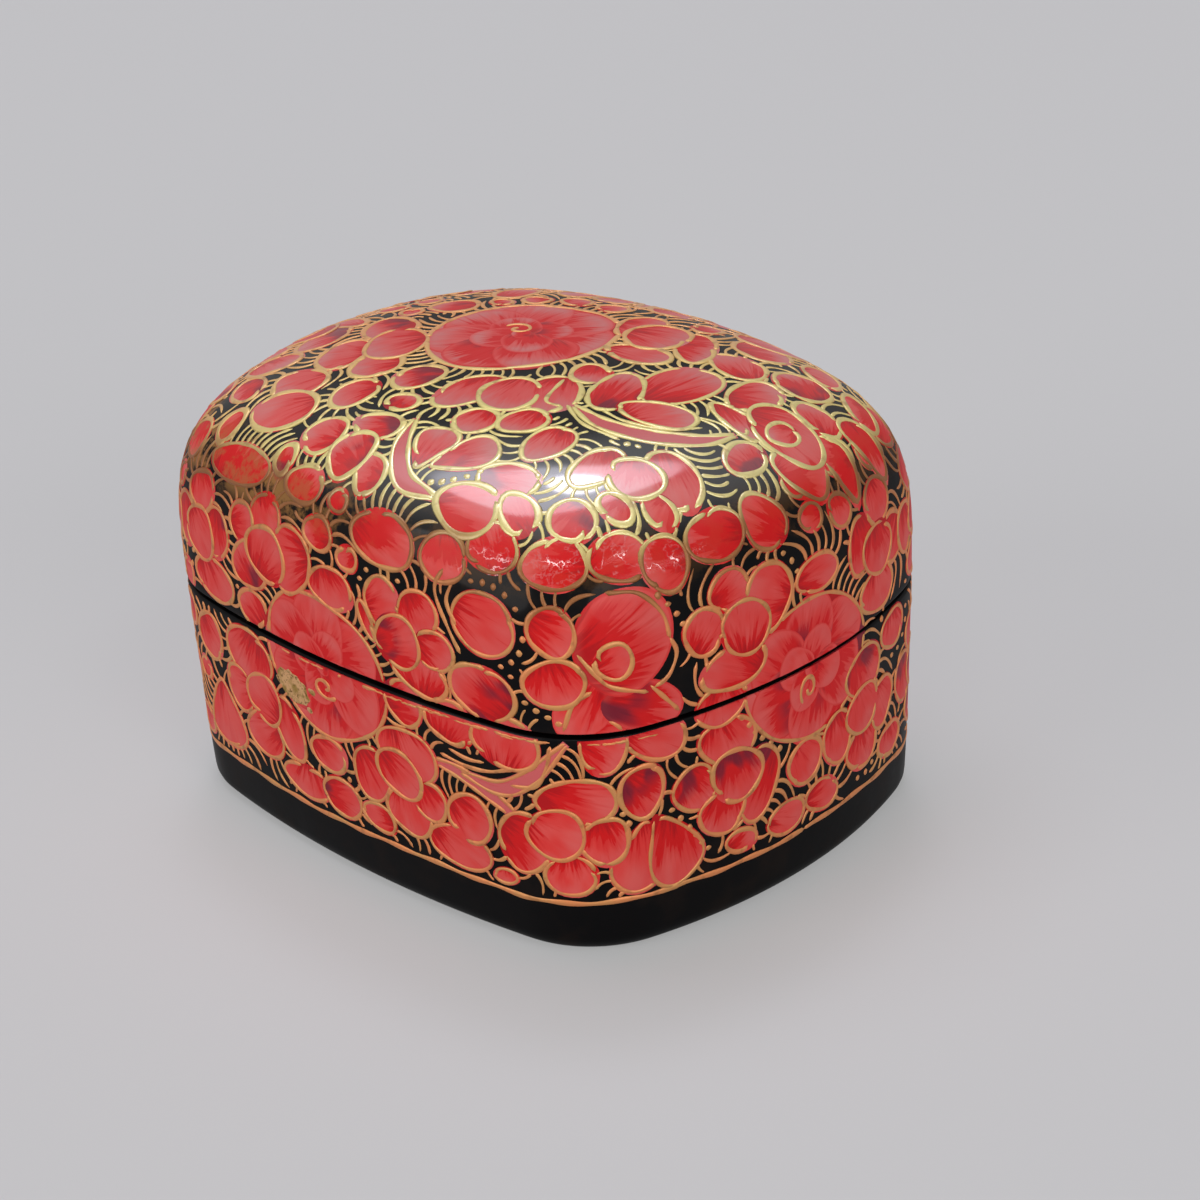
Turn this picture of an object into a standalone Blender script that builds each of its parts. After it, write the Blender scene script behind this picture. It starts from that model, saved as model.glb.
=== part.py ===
"""A small lidded papier mache box with a bowed rectangular outline and a softly domed lid.

The lower half is a strip-built wall with a board floor glued inside it. A thin neck strip stands on
the floor, rises past the rim and locates the loose lid. The lid is a wall ring that carries a moulded
crown. The box stands on z = 0, centred on the origin, with its long side along X and the lid lifting
along +Z. All sizes are in metres.
"""

import math

import bmesh
import bpy

MM = 0.001

# Outline, seen from above
LENGTH = 76.2 * MM
WIDTH = 62.0 * MM
END_BOW = 8.0 * MM
SIDE_BOW = 5.0 * MM
CORNER_RADIUS = 13.7 * MM

# Heights above the table
HEIGHT = 50.8 * MM
SEAM_HEIGHT = 25.3 * MM
NECK_RISE = 5.5 * MM
STRAIGHT_ABOVE_NECK = 0.3 * MM
CROWN_DROP = 7.8 * MM

# Pulp and board
WALL = 2.4 * MM
CROWN_THICKNESS = 2.4 * MM
FLOOR_THICKNESS = 2.0 * MM
NECK_THICKNESS = 1.2 * MM
WALL_LEAN = 0.7 * MM
FOOT_ROUNDING = 2.0 * MM
EDGE_SOFTENING = 0.25 * MM

# Gaps
GLUE_GAP = 0.3 * MM
SEAM_GAP = 0.4 * MM
LID_CLEARANCE = 0.3 * MM

# Crown curve: 2 is an ellipse, and a higher number gives a flatter top and a tighter shoulder
CROWN_SQUARENESS = 3.6
CROWN_TOP_SHARE = 0.96

# Facets
END_STEPS = 5
CORNER_STEPS = 7
SIDE_STEPS = 6
CROWN_STEPS = 8
SHOULDER_STEPS = 5
FOOT_STEPS = 4
EDGE_SEGMENTS = 1
SHARP_ANGLE = math.radians(35)
SOFTENED_ANGLE = math.radians(50)

# Finishes: linear colour, roughness
PAINTED_RED = (0.62, 0.09, 0.08, 1.0)
BLACK_LACQUER = (0.006, 0.006, 0.008, 1.0)
VARNISH_ROUGHNESS = 0.25
INSIDE_ROUGHNESS = 0.45

# Heights that follow from the sizes above
SEAM_BELOW = SEAM_HEIGHT - SEAM_GAP / 2
SEAM_ABOVE = SEAM_HEIGHT + SEAM_GAP / 2
NECK_TOP = SEAM_HEIGHT + NECK_RISE
CURVE_START = NECK_TOP + STRAIGHT_ABOVE_NECK
SHOULDER_HEIGHT = HEIGHT - CROWN_DROP
SHOULDER_BELOW = SHOULDER_HEIGHT - GLUE_GAP / 2
SHOULDER_ABOVE = SHOULDER_HEIGHT + GLUE_GAP / 2
CEILING_HEIGHT = HEIGHT - CROWN_THICKNESS


def arc(centre, radius, start, end, steps):
    """Points along an arc, without its end point."""
    angles = [start + (end - start) * step / steps for step in range(steps)]
    return [(centre[0] + radius * math.cos(a), centre[1] + radius * math.sin(a)) for a in angles]


def corner_centre(end_radius, side_radius):
    """Centre of the corner arc that is tangent to the end arc and the side arc."""
    end_centre = (LENGTH / 2 - end_radius, 0.0)
    side_centre = (0.0, WIDTH / 2 - side_radius)
    from_end = end_radius - CORNER_RADIUS
    from_side = side_radius - CORNER_RADIUS
    across = (end_centre[0] - side_centre[0], end_centre[1] - side_centre[1])
    distance = math.hypot(*across)
    along = (from_side**2 - from_end**2 + distance**2) / (2 * distance)
    off = math.sqrt(from_side**2 - along**2)
    unit = (across[0] / distance, across[1] / distance)
    return (
        side_centre[0] + unit[0] * along + unit[1] * off,
        side_centre[1] + unit[1] * along - unit[0] * off,
    )


def outline(inset):
    """The box's outline, drawn in by inset all round: bowed ends and sides with round corners."""
    end_radius = ((WIDTH / 2) ** 2 + END_BOW**2) / (2 * END_BOW)
    side_radius = ((LENGTH / 2) ** 2 + SIDE_BOW**2) / (2 * SIDE_BOW)
    end_centre = (LENGTH / 2 - end_radius, 0.0)
    side_centre = (0.0, WIDTH / 2 - side_radius)
    corner = corner_centre(end_radius, side_radius)
    end_angle = math.atan2(corner[1] - end_centre[1], corner[0] - end_centre[0])
    side_angle = math.atan2(corner[1] - side_centre[1], corner[0] - side_centre[0])
    quarter = arc(end_centre, end_radius - inset, 0.0, end_angle, END_STEPS)
    quarter += arc(corner, CORNER_RADIUS - inset, end_angle, side_angle, CORNER_STEPS)
    quarter += arc(side_centre, side_radius - inset, side_angle, math.pi / 2, SIDE_STEPS)
    middle = (0.0, WIDTH / 2 - inset)
    second = [middle] + [(-x, y) for x, y in reversed(quarter[1:])]
    half = quarter + second
    return half + [(-x, -y) for x, y in half]


def lean_at(height):
    """How far the lower wall has drawn in at a height, from nothing at the seam."""
    return WALL_LEAN * (1 - min(height, SEAM_HEIGHT) / SEAM_HEIGHT)


def level_ring(inset, height):
    """A parallel outline at one height."""
    return [(x, y, height) for x, y in outline(inset)]


def lid_ring(turn, inset, top):
    """One section of the lid's curve: turn runs from 0, upright wall, to 1, the middle of the top."""
    angle = turn * math.pi / 2
    shrink = math.cos(angle) ** (2 / CROWN_SQUARENESS)
    height = CURVE_START + (top - CURVE_START) * math.sin(angle) ** (2 / CROWN_SQUARENESS)
    half_length = LENGTH / 2 - inset
    half_width = WIDTH / 2 - inset
    ring = []
    for x, y in outline(inset):
        bearing = math.atan2(y / half_width, x / half_length)
        oval_x = half_length * math.cos(bearing)
        oval_y = half_width * math.sin(bearing)
        mixed_x = x + (oval_x - x) * turn
        mixed_y = y + (oval_y - y) * turn
        ring.append((mixed_x * shrink, mixed_y * shrink, height))
    return ring


def turn_at(height, top):
    """The turn at which the lid's curve passes a height."""
    share = (height - CURVE_START) / (top - CURVE_START)
    return math.asin(share ** (CROWN_SQUARENESS / 2)) / (math.pi / 2)


def between(start, end, steps):
    """Evenly spaced values from start to end, both included."""
    return [start + (end - start) * step / steps for step in range(steps + 1)]


def finish_of(name, colour, roughness):
    """A plain Principled material."""
    material = bpy.data.materials.new(name)
    material.use_nodes = True
    shader = material.node_tree.nodes["Principled BSDF"]
    shader.inputs["Base Color"].default_value = colour
    shader.inputs["Roughness"].default_value = roughness
    shader.inputs["Metallic"].default_value = 0.0
    return material


def loft(name, rings, is_band, material):
    """A closed body through the rings: a band joins its last ring to its first, others are capped."""
    mesh = bpy.data.meshes.new(name)
    shape = bmesh.new()
    loops = [[shape.verts.new(point) for point in ring] for ring in rings]
    pairs = list(zip(loops, loops[1:]))
    if is_band:
        pairs.append((loops[-1], loops[0]))
    for first, second in pairs:
        for here in range(len(first)):
            shape.faces.new((first[here - 1], first[here], second[here], second[here - 1]))
    if not is_band:
        shape.faces.new(loops[0])
        shape.faces.new(loops[-1])
    bmesh.ops.recalc_face_normals(shape, faces=shape.faces)
    shape.to_mesh(mesh)
    shape.free()
    mesh.shade_smooth()
    mesh.set_sharp_from_angle(angle=SHARP_ANGLE)
    mesh.materials.append(material)
    return bpy.data.objects.new(name, mesh)


def soften_edges(piece):
    """Takes the sharp edge off the rims."""
    bevel = piece.modifiers.new("softened_edges", "BEVEL")
    bevel.width = EDGE_SOFTENING
    bevel.segments = EDGE_SEGMENTS
    bevel.limit_method = "ANGLE"
    bevel.angle_limit = SOFTENED_ANGLE


def base_wall():
    """The lower side wall, with a rounded foot."""
    rings = [level_ring(WALL_LEAN + WALL, 0.0)]
    for angle in between(math.pi / 2, 0.0, FOOT_STEPS):
        height = FOOT_ROUNDING * (1 - math.sin(angle))
        inset = lean_at(height) + FOOT_ROUNDING * (1 - math.cos(angle))
        rings.append(level_ring(inset, height))
    rings.append(level_ring(lean_at(SEAM_BELOW), SEAM_BELOW))
    rings.append(level_ring(lean_at(SEAM_BELOW) + WALL, SEAM_BELOW))
    piece = loft("base_wall", rings, True, finish_of("base_paint", PAINTED_RED, VARNISH_ROUGHNESS))
    soften_edges(piece)
    return piece


def base_floor():
    """The board that closes the lower half, cut to drop inside the wall."""
    seat = WALL + GLUE_GAP
    rings = [
        level_ring(WALL_LEAN + seat, 0.0),
        level_ring(lean_at(FLOOR_THICKNESS) + seat, FLOOR_THICKNESS),
    ]
    lacquer = finish_of("floor_lacquer", BLACK_LACQUER, INSIDE_ROUGHNESS)
    piece = loft("base_floor", rings, False, lacquer)
    soften_edges(piece)
    return piece


def inner_collar():
    """The neck strip: glued against the wall, standing on the floor and rising into the lid."""
    foot = FLOOR_THICKNESS + GLUE_GAP
    outer_foot = lean_at(foot) + WALL + GLUE_GAP
    outer_top = WALL + max(GLUE_GAP, LID_CLEARANCE)
    rings = [
        level_ring(outer_foot + NECK_THICKNESS, foot),
        level_ring(outer_foot, foot),
        level_ring(outer_top, SEAM_HEIGHT),
        level_ring(outer_top, NECK_TOP),
        level_ring(outer_top + NECK_THICKNESS, NECK_TOP),
        level_ring(outer_top + NECK_THICKNESS, SEAM_HEIGHT),
    ]
    lacquer = finish_of("collar_lacquer", BLACK_LACQUER, INSIDE_ROUGHNESS)
    piece = loft("inner_collar", rings, True, lacquer)
    soften_edges(piece)
    return piece


def lid_wall():
    """The lid's wall ring: upright over the neck, then turning in to the shoulder."""
    outer_turns = between(0.0, turn_at(SHOULDER_BELOW, HEIGHT), SHOULDER_STEPS)
    inner_turns = between(turn_at(SHOULDER_BELOW, CEILING_HEIGHT), 0.0, SHOULDER_STEPS)
    rings = [level_ring(WALL, SEAM_ABOVE), level_ring(0.0, SEAM_ABOVE)]
    rings += [lid_ring(turn, 0.0, HEIGHT) for turn in outer_turns]
    rings += [lid_ring(turn, WALL, CEILING_HEIGHT) for turn in inner_turns]
    piece = loft("lid_wall", rings, True, finish_of("lid_paint", PAINTED_RED, VARNISH_ROUGHNESS))
    soften_edges(piece)
    return piece


def lid_crown():
    """The moulded cap that closes the lid, seated on the wall ring at the shoulder."""
    outer_turns = between(turn_at(SHOULDER_ABOVE, HEIGHT), CROWN_TOP_SHARE, CROWN_STEPS)
    inner_turns = between(turn_at(SHOULDER_ABOVE, CEILING_HEIGHT), CROWN_TOP_SHARE, CROWN_STEPS)
    rings = [lid_ring(turn, 0.0, HEIGHT) for turn in reversed(outer_turns)]
    rings += [lid_ring(turn, WALL, CEILING_HEIGHT) for turn in inner_turns]
    return loft("lid_crown", rings, False, finish_of("crown_paint", PAINTED_RED, VARNISH_ROUGHNESS))


def main():
    for old in list(bpy.data.objects):
        bpy.data.objects.remove(old)
    box = bpy.data.collections.new("papier_mache_box")
    bpy.context.scene.collection.children.link(box)
    lift = bpy.data.objects.new("lid_lift", None)
    lift.location.z = SEAM_HEIGHT
    box.objects.link(lift)
    for piece in (base_wall(), base_floor(), inner_collar()):
        box.objects.link(piece)
    for piece in (lid_wall(), lid_crown()):
        box.objects.link(piece)
        piece.parent = lift
        piece.location.z = -SEAM_HEIGHT


main()
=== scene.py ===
# %% [markdown]
# # A painted papier mache box
#
# The real thing is a small lidded box from the papier mache workshops of Kashmir: pulp walls, black
# lacquer, coral and crimson flowers, gold outlines and a glossy varnish over everything. It could be
# painted with a flat picture, but paint has thickness. So every petal here is a thin pad laid on the
# wall and every gold line is a raised ridge, and both follow the curved shape exactly.
#
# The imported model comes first, because every piece rides on one of its bodies.

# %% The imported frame
import math
import random

import bmesh
import bpy
import numpy as np
from mathutils import Matrix, Vector
from mathutils.kdtree import KDTree


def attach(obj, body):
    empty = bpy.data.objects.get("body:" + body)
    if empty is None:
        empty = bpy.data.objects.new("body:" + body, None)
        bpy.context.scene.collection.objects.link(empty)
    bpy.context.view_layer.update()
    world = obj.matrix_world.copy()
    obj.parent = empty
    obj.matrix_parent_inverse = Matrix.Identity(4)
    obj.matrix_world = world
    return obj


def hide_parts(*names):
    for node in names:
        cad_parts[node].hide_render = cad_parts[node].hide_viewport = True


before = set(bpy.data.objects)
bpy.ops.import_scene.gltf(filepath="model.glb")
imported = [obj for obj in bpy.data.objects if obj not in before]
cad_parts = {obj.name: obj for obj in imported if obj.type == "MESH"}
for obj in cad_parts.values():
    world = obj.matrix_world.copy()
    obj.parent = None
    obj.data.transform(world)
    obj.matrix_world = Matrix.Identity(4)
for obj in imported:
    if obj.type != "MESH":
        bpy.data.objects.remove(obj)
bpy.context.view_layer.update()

MM = 0.001

# %% [markdown]
# ## Sizes
#
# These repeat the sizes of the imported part. Everything is drawn in millimetres, because brush strokes
# are easier to think of that way, and becomes metres only when a mesh is made.

# %% Sizes of the box, in millimetres
HALF_LENGTH = 38.1
HALF_WIDTH = 31.0
HEIGHT = 50.8
END_BOW = 8.0
SIDE_BOW = 5.0
CORNER_RADIUS = 13.7
SEAM_HEIGHT = 25.3
SEAM_GAP = 0.4
NECK_RISE = 5.5
CURVE_START = 31.1
CROWN_SQUARENESS = 3.6
WALL = 2.4
CROWN_THICKNESS = 2.4
FLOOR_THICKNESS = 2.0
NECK_THICKNESS = 1.2
GLUE_GAP = 0.3
WALL_LEAN = 0.7
FOOT_ROUNDING = 2.0

# Room that the shells leave for the paint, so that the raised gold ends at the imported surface
PAINT_ROOM = 0.25
RIM_ROUNDING = 0.35
POINTS_AROUND = 360
print("box", 2 * HALF_LENGTH, "x", 2 * HALF_WIDTH, "x", HEIGHT, "mm")

# %% [markdown]
# ## The outline
#
# Seen from above, the box is a rectangle whose sides and ends bow outwards and whose corners are round:
# twelve arcs that run into one another. A point on it is named by its distance along the outline,
# starting from the middle of the +X end. A painter would measure it with a strip of paper.

# %% The outline
END_RADIUS = (HALF_WIDTH**2 + END_BOW**2) / (2 * END_BOW)
SIDE_RADIUS = (HALF_LENGTH**2 + SIDE_BOW**2) / (2 * SIDE_BOW)
END_CENTRE = np.array((HALF_LENGTH - END_RADIUS, 0.0))
SIDE_CENTRE = np.array((0.0, HALF_WIDTH - SIDE_RADIUS))


def corner_centre():
    """Centre of the corner arc, which touches the end arc and the side arc."""
    across = END_CENTRE - SIDE_CENTRE
    distance = np.hypot(*across)
    from_end = END_RADIUS - CORNER_RADIUS
    from_side = SIDE_RADIUS - CORNER_RADIUS
    along = (from_side**2 - from_end**2 + distance**2) / (2 * distance)
    off = math.sqrt(from_side**2 - along**2)
    ahead = across / distance
    return SIDE_CENTRE + ahead * along + np.array((ahead[1], -ahead[0])) * off


CORNER_CENTRE = corner_centre()
END_ANGLE = math.atan2(*(CORNER_CENTRE - END_CENTRE)[::-1])
SIDE_ANGLE = math.atan2(*(CORNER_CENTRE - SIDE_CENTRE)[::-1])
END_RUN = END_RADIUS * END_ANGLE
CORNER_RUN = CORNER_RADIUS * (SIDE_ANGLE - END_ANGLE)
SIDE_RUN = SIDE_RADIUS * (math.pi / 2 - SIDE_ANGLE)
QUARTER = END_RUN + CORNER_RUN + SIDE_RUN
ROUND = 4 * QUARTER


def outline(run, inset):
    """X and Y on the outline, drawn in by inset, at a distance along it."""
    run = np.mod(run, ROUND)
    quarter = np.floor(run / QUARTER).astype(int) % 4
    rest = run - quarter * QUARTER
    rest = np.where(quarter % 2 == 1, QUARTER - rest, rest)
    end = rest / END_RADIUS
    corner = END_ANGLE + (rest - END_RUN) / CORNER_RADIUS
    side = SIDE_ANGLE + (rest - END_RUN - CORNER_RUN) / SIDE_RADIUS
    on_end = rest < END_RUN
    on_corner = rest < END_RUN + CORNER_RUN
    angle = np.where(on_end, end, np.where(on_corner, corner, side))
    radius = np.where(on_end, END_RADIUS, np.where(on_corner, CORNER_RADIUS, SIDE_RADIUS)) - inset
    middle_x = np.where(on_end, END_CENTRE[0], np.where(on_corner, CORNER_CENTRE[0], SIDE_CENTRE[0]))
    middle_y = np.where(on_end, END_CENTRE[1], np.where(on_corner, CORNER_CENTRE[1], SIDE_CENTRE[1]))
    sign_x = np.where((quarter == 1) | (quarter == 2), -1.0, 1.0)
    sign_y = np.where((quarter == 2) | (quarter == 3), -1.0, 1.0)
    return sign_x * (middle_x + radius * np.cos(angle)), sign_y * (middle_y + radius * np.sin(angle))


print("outline", round(ROUND, 1), "mm round")

# %% [markdown]
# ## Two charts to paint on
#
# A globe needs more than one map, and so does this box. The round chart measures the distance along the
# outline and up the wall, and goes on over the shoulder. The top chart is the plain view from above. A
# motif is drawn flat on one of them, and the chart says where each of its points lies on the box and
# which way the surface faces there.

# %% The charts
TURN_STEPS = 1200
TURN_CROWDING = 1.8
RIM_POINTS = 2400
SOLVE_STEPS = 22
SLOPE_STEP = 0.04
SHORTEST = 1e-12


def lean_at(height):
    """How far the lower wall has drawn in at a height."""
    return WALL_LEAN * (1 - np.minimum(height, SEAM_HEIGHT) / SEAM_HEIGHT)


def wall_point(run, height, inset=0.0):
    x, y = outline(run, inset + lean_at(height))
    return np.stack((x, y, height + 0 * x), -1)


def crown_rise(turn, top=HEIGHT):
    """Height of the lid's curve: turn is 0 where the wall is upright and 1 at the middle of the top."""
    return CURVE_START + (top - CURVE_START) * np.sin(turn * math.pi / 2) ** (2 / CROWN_SQUARENESS)


def crown_shrink(turn):
    """The share of its width that the curve has kept."""
    return np.abs(np.cos(turn * math.pi / 2)) ** (2 / CROWN_SQUARENESS)


def crown_point(run, turn, inset=0.0, top=HEIGHT):
    """A point on the lid's curve, which changes from the box's outline to an oval on its way up."""
    x, y = outline(run, inset)
    half_length = HALF_LENGTH - inset
    half_width = HALF_WIDTH - inset
    bearing = np.arctan2(y / half_width, x / half_length)
    x = x + (half_length * np.cos(bearing) - x) * turn
    y = y + (half_width * np.sin(bearing) - y) * turn
    return np.stack((x * crown_shrink(turn), y * crown_shrink(turn), crown_rise(turn, top) + 0 * x), -1)


def distance_along(points):
    """How far along a line each of its points is."""
    return np.concatenate(((0.0,), np.cumsum(np.linalg.norm(np.diff(points, axis=0), axis=1))))


TURNS = np.linspace(0, 1, TURN_STEPS) ** TURN_CROWDING
MERIDIAN = crown_point(np.full(TURN_STEPS, 3 * QUARTER), TURNS)
CLIMBED = distance_along(MERIDIAN)
TOP_RISE = CURVE_START + CLIMBED[-1]

RIM_X, RIM_Y = outline(np.linspace(0, ROUND, RIM_POINTS, endpoint=False), 0.0)
RIM_BEARINGS = np.arctan2(RIM_Y / HALF_WIDTH, RIM_X / HALF_LENGTH)
RIM_REACH = np.hypot(RIM_X / HALF_LENGTH, RIM_Y / HALF_WIDTH)


def round_chart(drawn):
    """Points on the outside for a drawing of (distance along the outline, distance up)."""
    run, rise = drawn[..., 0], drawn[..., 1]
    turn = np.interp(rise - CURVE_START, CLIMBED, TURNS)
    low = wall_point(run, np.minimum(rise, CURVE_START))
    return np.where((rise < CURVE_START)[..., None], low, crown_point(run, turn))


def top_chart(drawn):
    """Points on the crown for a drawing of (x, y)."""
    x, y = drawn[..., 0], drawn[..., 1]
    bearing = np.arctan2(y / HALF_WIDTH, x / HALF_LENGTH)
    rim = np.interp(bearing, RIM_BEARINGS, RIM_REACH, period=2 * math.pi)
    reach = np.hypot(x / HALF_LENGTH, y / HALF_WIDTH)
    low, high = np.zeros_like(reach), np.ones_like(reach)
    for _ in range(SOLVE_STEPS):
        middle = (low + high) / 2
        outside = (rim + (1 - rim) * middle) * crown_shrink(middle) > reach
        low, high = np.where(outside, middle, low), np.where(outside, high, middle)
    return np.stack((x, y, crown_rise((low + high) / 2)), -1)


NUDGES = SLOPE_STEP * np.array(((0, 0), (1, 0), (-1, 0), (0, 1), (0, -1)))


def across_box(chart, places):
    """The same places on the other side of the box, half a turn on."""
    places = np.array(places, dtype=float)
    return places + (ROUND / 2, 0.0) if chart is round_chart else -places


def unit(vectors):
    """The same directions, all one long."""
    return vectors / (np.linalg.norm(vectors, axis=-1, keepdims=True) + SHORTEST)


def laid(chart, drawn, height):
    """A drawing laid on the box, a height above the black ground, and the way the surface faces there."""
    here, east, west, north, south = chart(drawn + NUDGES[:, None])
    outward = unit(np.cross(east - west, north - south))
    lift = np.broadcast_to(np.asarray(height) - PAINT_ROOM, len(drawn))
    return here + outward * lift[:, None], outward


print("up the wall and over to the middle of the top:", round(TOP_RISE, 1), "mm")

# %% [markdown]
# ## Making meshes
#
# Every piece below ends as arrays of points and faces. One helper turns them into an object. It can
# also store facts about each point, such as its place within its petal, which the finishes read later,
# and it can set the direction in which each point shades.

# %% A helper for meshes
SHARP_ANGLE = math.radians(40)


def make_piece(name, points, faces, finish, fields=None, outward=None):
    """An object from points in millimetres, with named facts and shading directions for each point."""
    mesh = bpy.data.meshes.new(name)
    mesh.from_pydata((np.asarray(points) * MM).tolist(), [], faces)
    for field, values in (fields or {}).items():
        stored = mesh.attributes.new(field, "FLOAT_VECTOR", "POINT")
        stored.data.foreach_set("vector", np.asarray(values, dtype=np.float32).ravel())
    mesh.shade_smooth()
    if outward is not None:
        mesh.normals_split_custom_set_from_vertices(np.asarray(outward).tolist())
    mesh.materials.append(finish)
    piece = bpy.data.objects.new(name, mesh)
    bpy.context.scene.collection.objects.link(piece)
    return piece


def bands(rings, around, first=0, closed=False):
    """Faces between each ring of points and the next, and from the last to the first if closed."""
    low = np.arange(rings if closed else rings - 1)[:, None] * around
    here = np.arange(around)
    after = (here + 1) % around
    corners = np.stack((low + here, low + around + here, low + around + after, low + after), -1)
    return (first + corners.reshape(-1, 4) % (rings * around)).tolist()


def loft(name, rings, is_band, finish):
    """A closed shell through rings of points: a band joins its last ring to its first."""
    around = len(rings[0])
    faces = bands(len(rings), around, closed=is_band)
    if not is_band:
        last = (len(rings) - 1) * around
        faces += [list(range(around)), list(range(last, last + around))]
    piece = make_piece(name, np.concatenate(rings), faces, finish)
    shape = bmesh.new()
    shape.from_mesh(piece.data)
    bmesh.ops.recalc_face_normals(shape, faces=shape.faces)
    shape.to_mesh(piece.data)
    shape.free()
    piece.data.set_sharp_from_angle(angle=SHARP_ANGLE)
    return piece


# %% [markdown]
# ## Sums in a finish
#
# A finish is worked out by nodes. Written as nodes, even a short sum takes many lines, so a small class
# wraps a socket and lets Python's own signs add the Math nodes. Colours have their own mixing method,
# because a Math node would turn them grey.

# %% The helper for finishes
class Value:
    """One socket of a finish, for use in sums."""

    def __init__(self, finish, node, socket):
        self.finish = finish
        self.node = node
        self.socket = socket

    def sum(self, operation, *values):
        return self.finish.node("ShaderNodeMath", {"operation": operation}, dict(enumerate(values)))

    def __add__(self, other):
        return self.sum("ADD", self, other)

    __radd__ = __add__

    def __sub__(self, other):
        return self.sum("SUBTRACT", self, other)

    def __rsub__(self, other):
        return self.sum("SUBTRACT", other, self)

    def __mul__(self, other):
        return self.sum("MULTIPLY", self, other)

    __rmul__ = __mul__

    def __truediv__(self, other):
        return self.sum("DIVIDE", self, other)

    def output(self, name):
        """Another output of the same node."""
        return Value(self.finish, self.node, self.node.outputs[name])


class Finish:
    """The nodes of a material, or of the world, and the methods that add to them."""

    def __init__(self, name, owners=bpy.data.materials, shader="Principled BSDF"):
        self.owner = owners.new(name)
        self.owner.use_nodes = True
        self.tree = self.owner.node_tree
        self.shader = self.tree.nodes[shader]

    def fill(self, node, inputs):
        for name, value in inputs.items():
            if isinstance(value, Value):
                self.tree.links.new(value.socket, node.inputs[name])
            else:
                node.inputs[name].default_value = value

    def node(self, kind, settings=None, inputs=None, output=0):
        node = self.tree.nodes.new(kind)
        for name, value in (settings or {}).items():
            setattr(node, name, value)
        self.fill(node, inputs or {})
        return Value(self, node, node.outputs[output])

    def mix(self, factor, first, second):
        """A colour between two others."""
        return self.node("ShaderNodeMix", {"data_type": "RGBA"}, {0: factor, 6: first, 7: second}, 2)

    def fade(self, value, low, high):
        """0 below low and 1 above high, with a soft step between."""
        return self.node("ShaderNodeMapRange", {"interpolation_type": "SMOOTHSTEP"},
                         {"Value": value, "From Min": low, "From Max": high})

    def fall(self, value, low, high):
        """1 below low and 0 above high."""
        return 1 - self.fade(value, low, high)

    def noise(self, vector, scale, detail=2.0, roughness=0.5):
        """Cloudy values around a half."""
        return self.node("ShaderNodeTexNoise", {},
                         {"Vector": vector, "Scale": scale, "Detail": detail, "Roughness": roughness})

    def place(self):
        """The place on the piece, in metres."""
        return self.node("ShaderNodeTexCoord").output("Object")

    def apart(self, vector):
        """The three parts of a vector."""
        x = self.node("ShaderNodeSeparateXYZ", {}, {0: vector})
        return x, x.output("Y"), x.output("Z")

    def field(self, name):
        """The three facts that a mesh stores for each point."""
        return self.apart(self.node("ShaderNodeAttribute", {"attribute_name": name}).output("Vector"))

    def vector(self, x, y, z):
        return self.node("ShaderNodeCombineXYZ", {}, {0: x, 1: y, 2: z})

    def bump(self, height, depth):
        return self.node("ShaderNodeBump", {}, {"Height": height, "Distance": depth})

    def is_seen(self):
        """1 for a ray that shows or mirrors what it meets, and 0 for one that only carries light."""
        path = self.node("ShaderNodeLightPath")
        seen = path.sum("MAXIMUM", path, path.output("Is Glossy Ray"))
        return seen.sum("MAXIMUM", seen, path.output("Is Transmission Ray"))

    def done(self, **inputs):
        """Fills the shader, with _ for the spaces in its sockets' names."""
        self.fill(self.shader, {name.replace("_", " "): value for name, value in inputs.items()})
        return self.owner


print("helpers ready")

# %% [markdown]
# ## Black lacquer
#
# The ground under the flowers, the foot and the whole inside are black lacquer. On the real box it is
# brushed on over sanded pulp and so it isn't a mirror: faint waves of the pulp and brush show in its
# shine. A plain black would look like plastic. Here soft noise in the roughness and a shallow bump give
# the pulp. The clear coat over it is the varnish: it has pooled round the edge of the top, most on one
# corner, is thin on the walls and has been rubbed thin by hands on the very top. Gold that has rubbed off
# leaves a brown smear along one shoulder.

# %% Varnish and rubbed gold, for all the paints
WALL_VARNISH = 0.045
SHOULDER_VARNISH = 0.3
TOP_VARNISH = 0.1
POOLED_VARNISH = 0.7
VARNISH_LOW = 42.5 * MM
VARNISH_HIGH = 47.0 * MM
VARNISH_WANES = 48.9 * MM
VARNISH_WORN = 50.1 * MM
VARNISH_ROUGHNESS = 0.1
VARNISH_GLOSS = 2.0
POOL_BACK = 20.0 * MM
POOL_FRONT = 36.0 * MM
RUBBED_GOLD = (0.34, 0.16, 0.05, 1.0)
SMEAR_LOW = 38.6 * MM
SMEAR_HIGH = 46.4 * MM
SMEAR_FADE = 3 * MM
SMEAR_CLOUDS = 330.0
SMEAR_ELSEWHERE = 0.12


def varnish(finish, place):
    """How thick the clear coat is at a place: it has pooled on the front corner of the lid."""
    x, y, height = finish.apart(place)
    settled = finish.fade(height, VARNISH_LOW, VARNISH_HIGH)
    rubbed = finish.fade(height, VARNISH_WANES, VARNISH_WORN)
    pooled = finish.fade(x - y, POOL_BACK, POOL_FRONT)
    rest = settled * (SHOULDER_VARNISH - WALL_VARNISH) - rubbed * (SHOULDER_VARNISH - TOP_VARNISH)
    return WALL_VARNISH + rest + pooled * settled * POOLED_VARNISH * (1 - rubbed)


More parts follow.
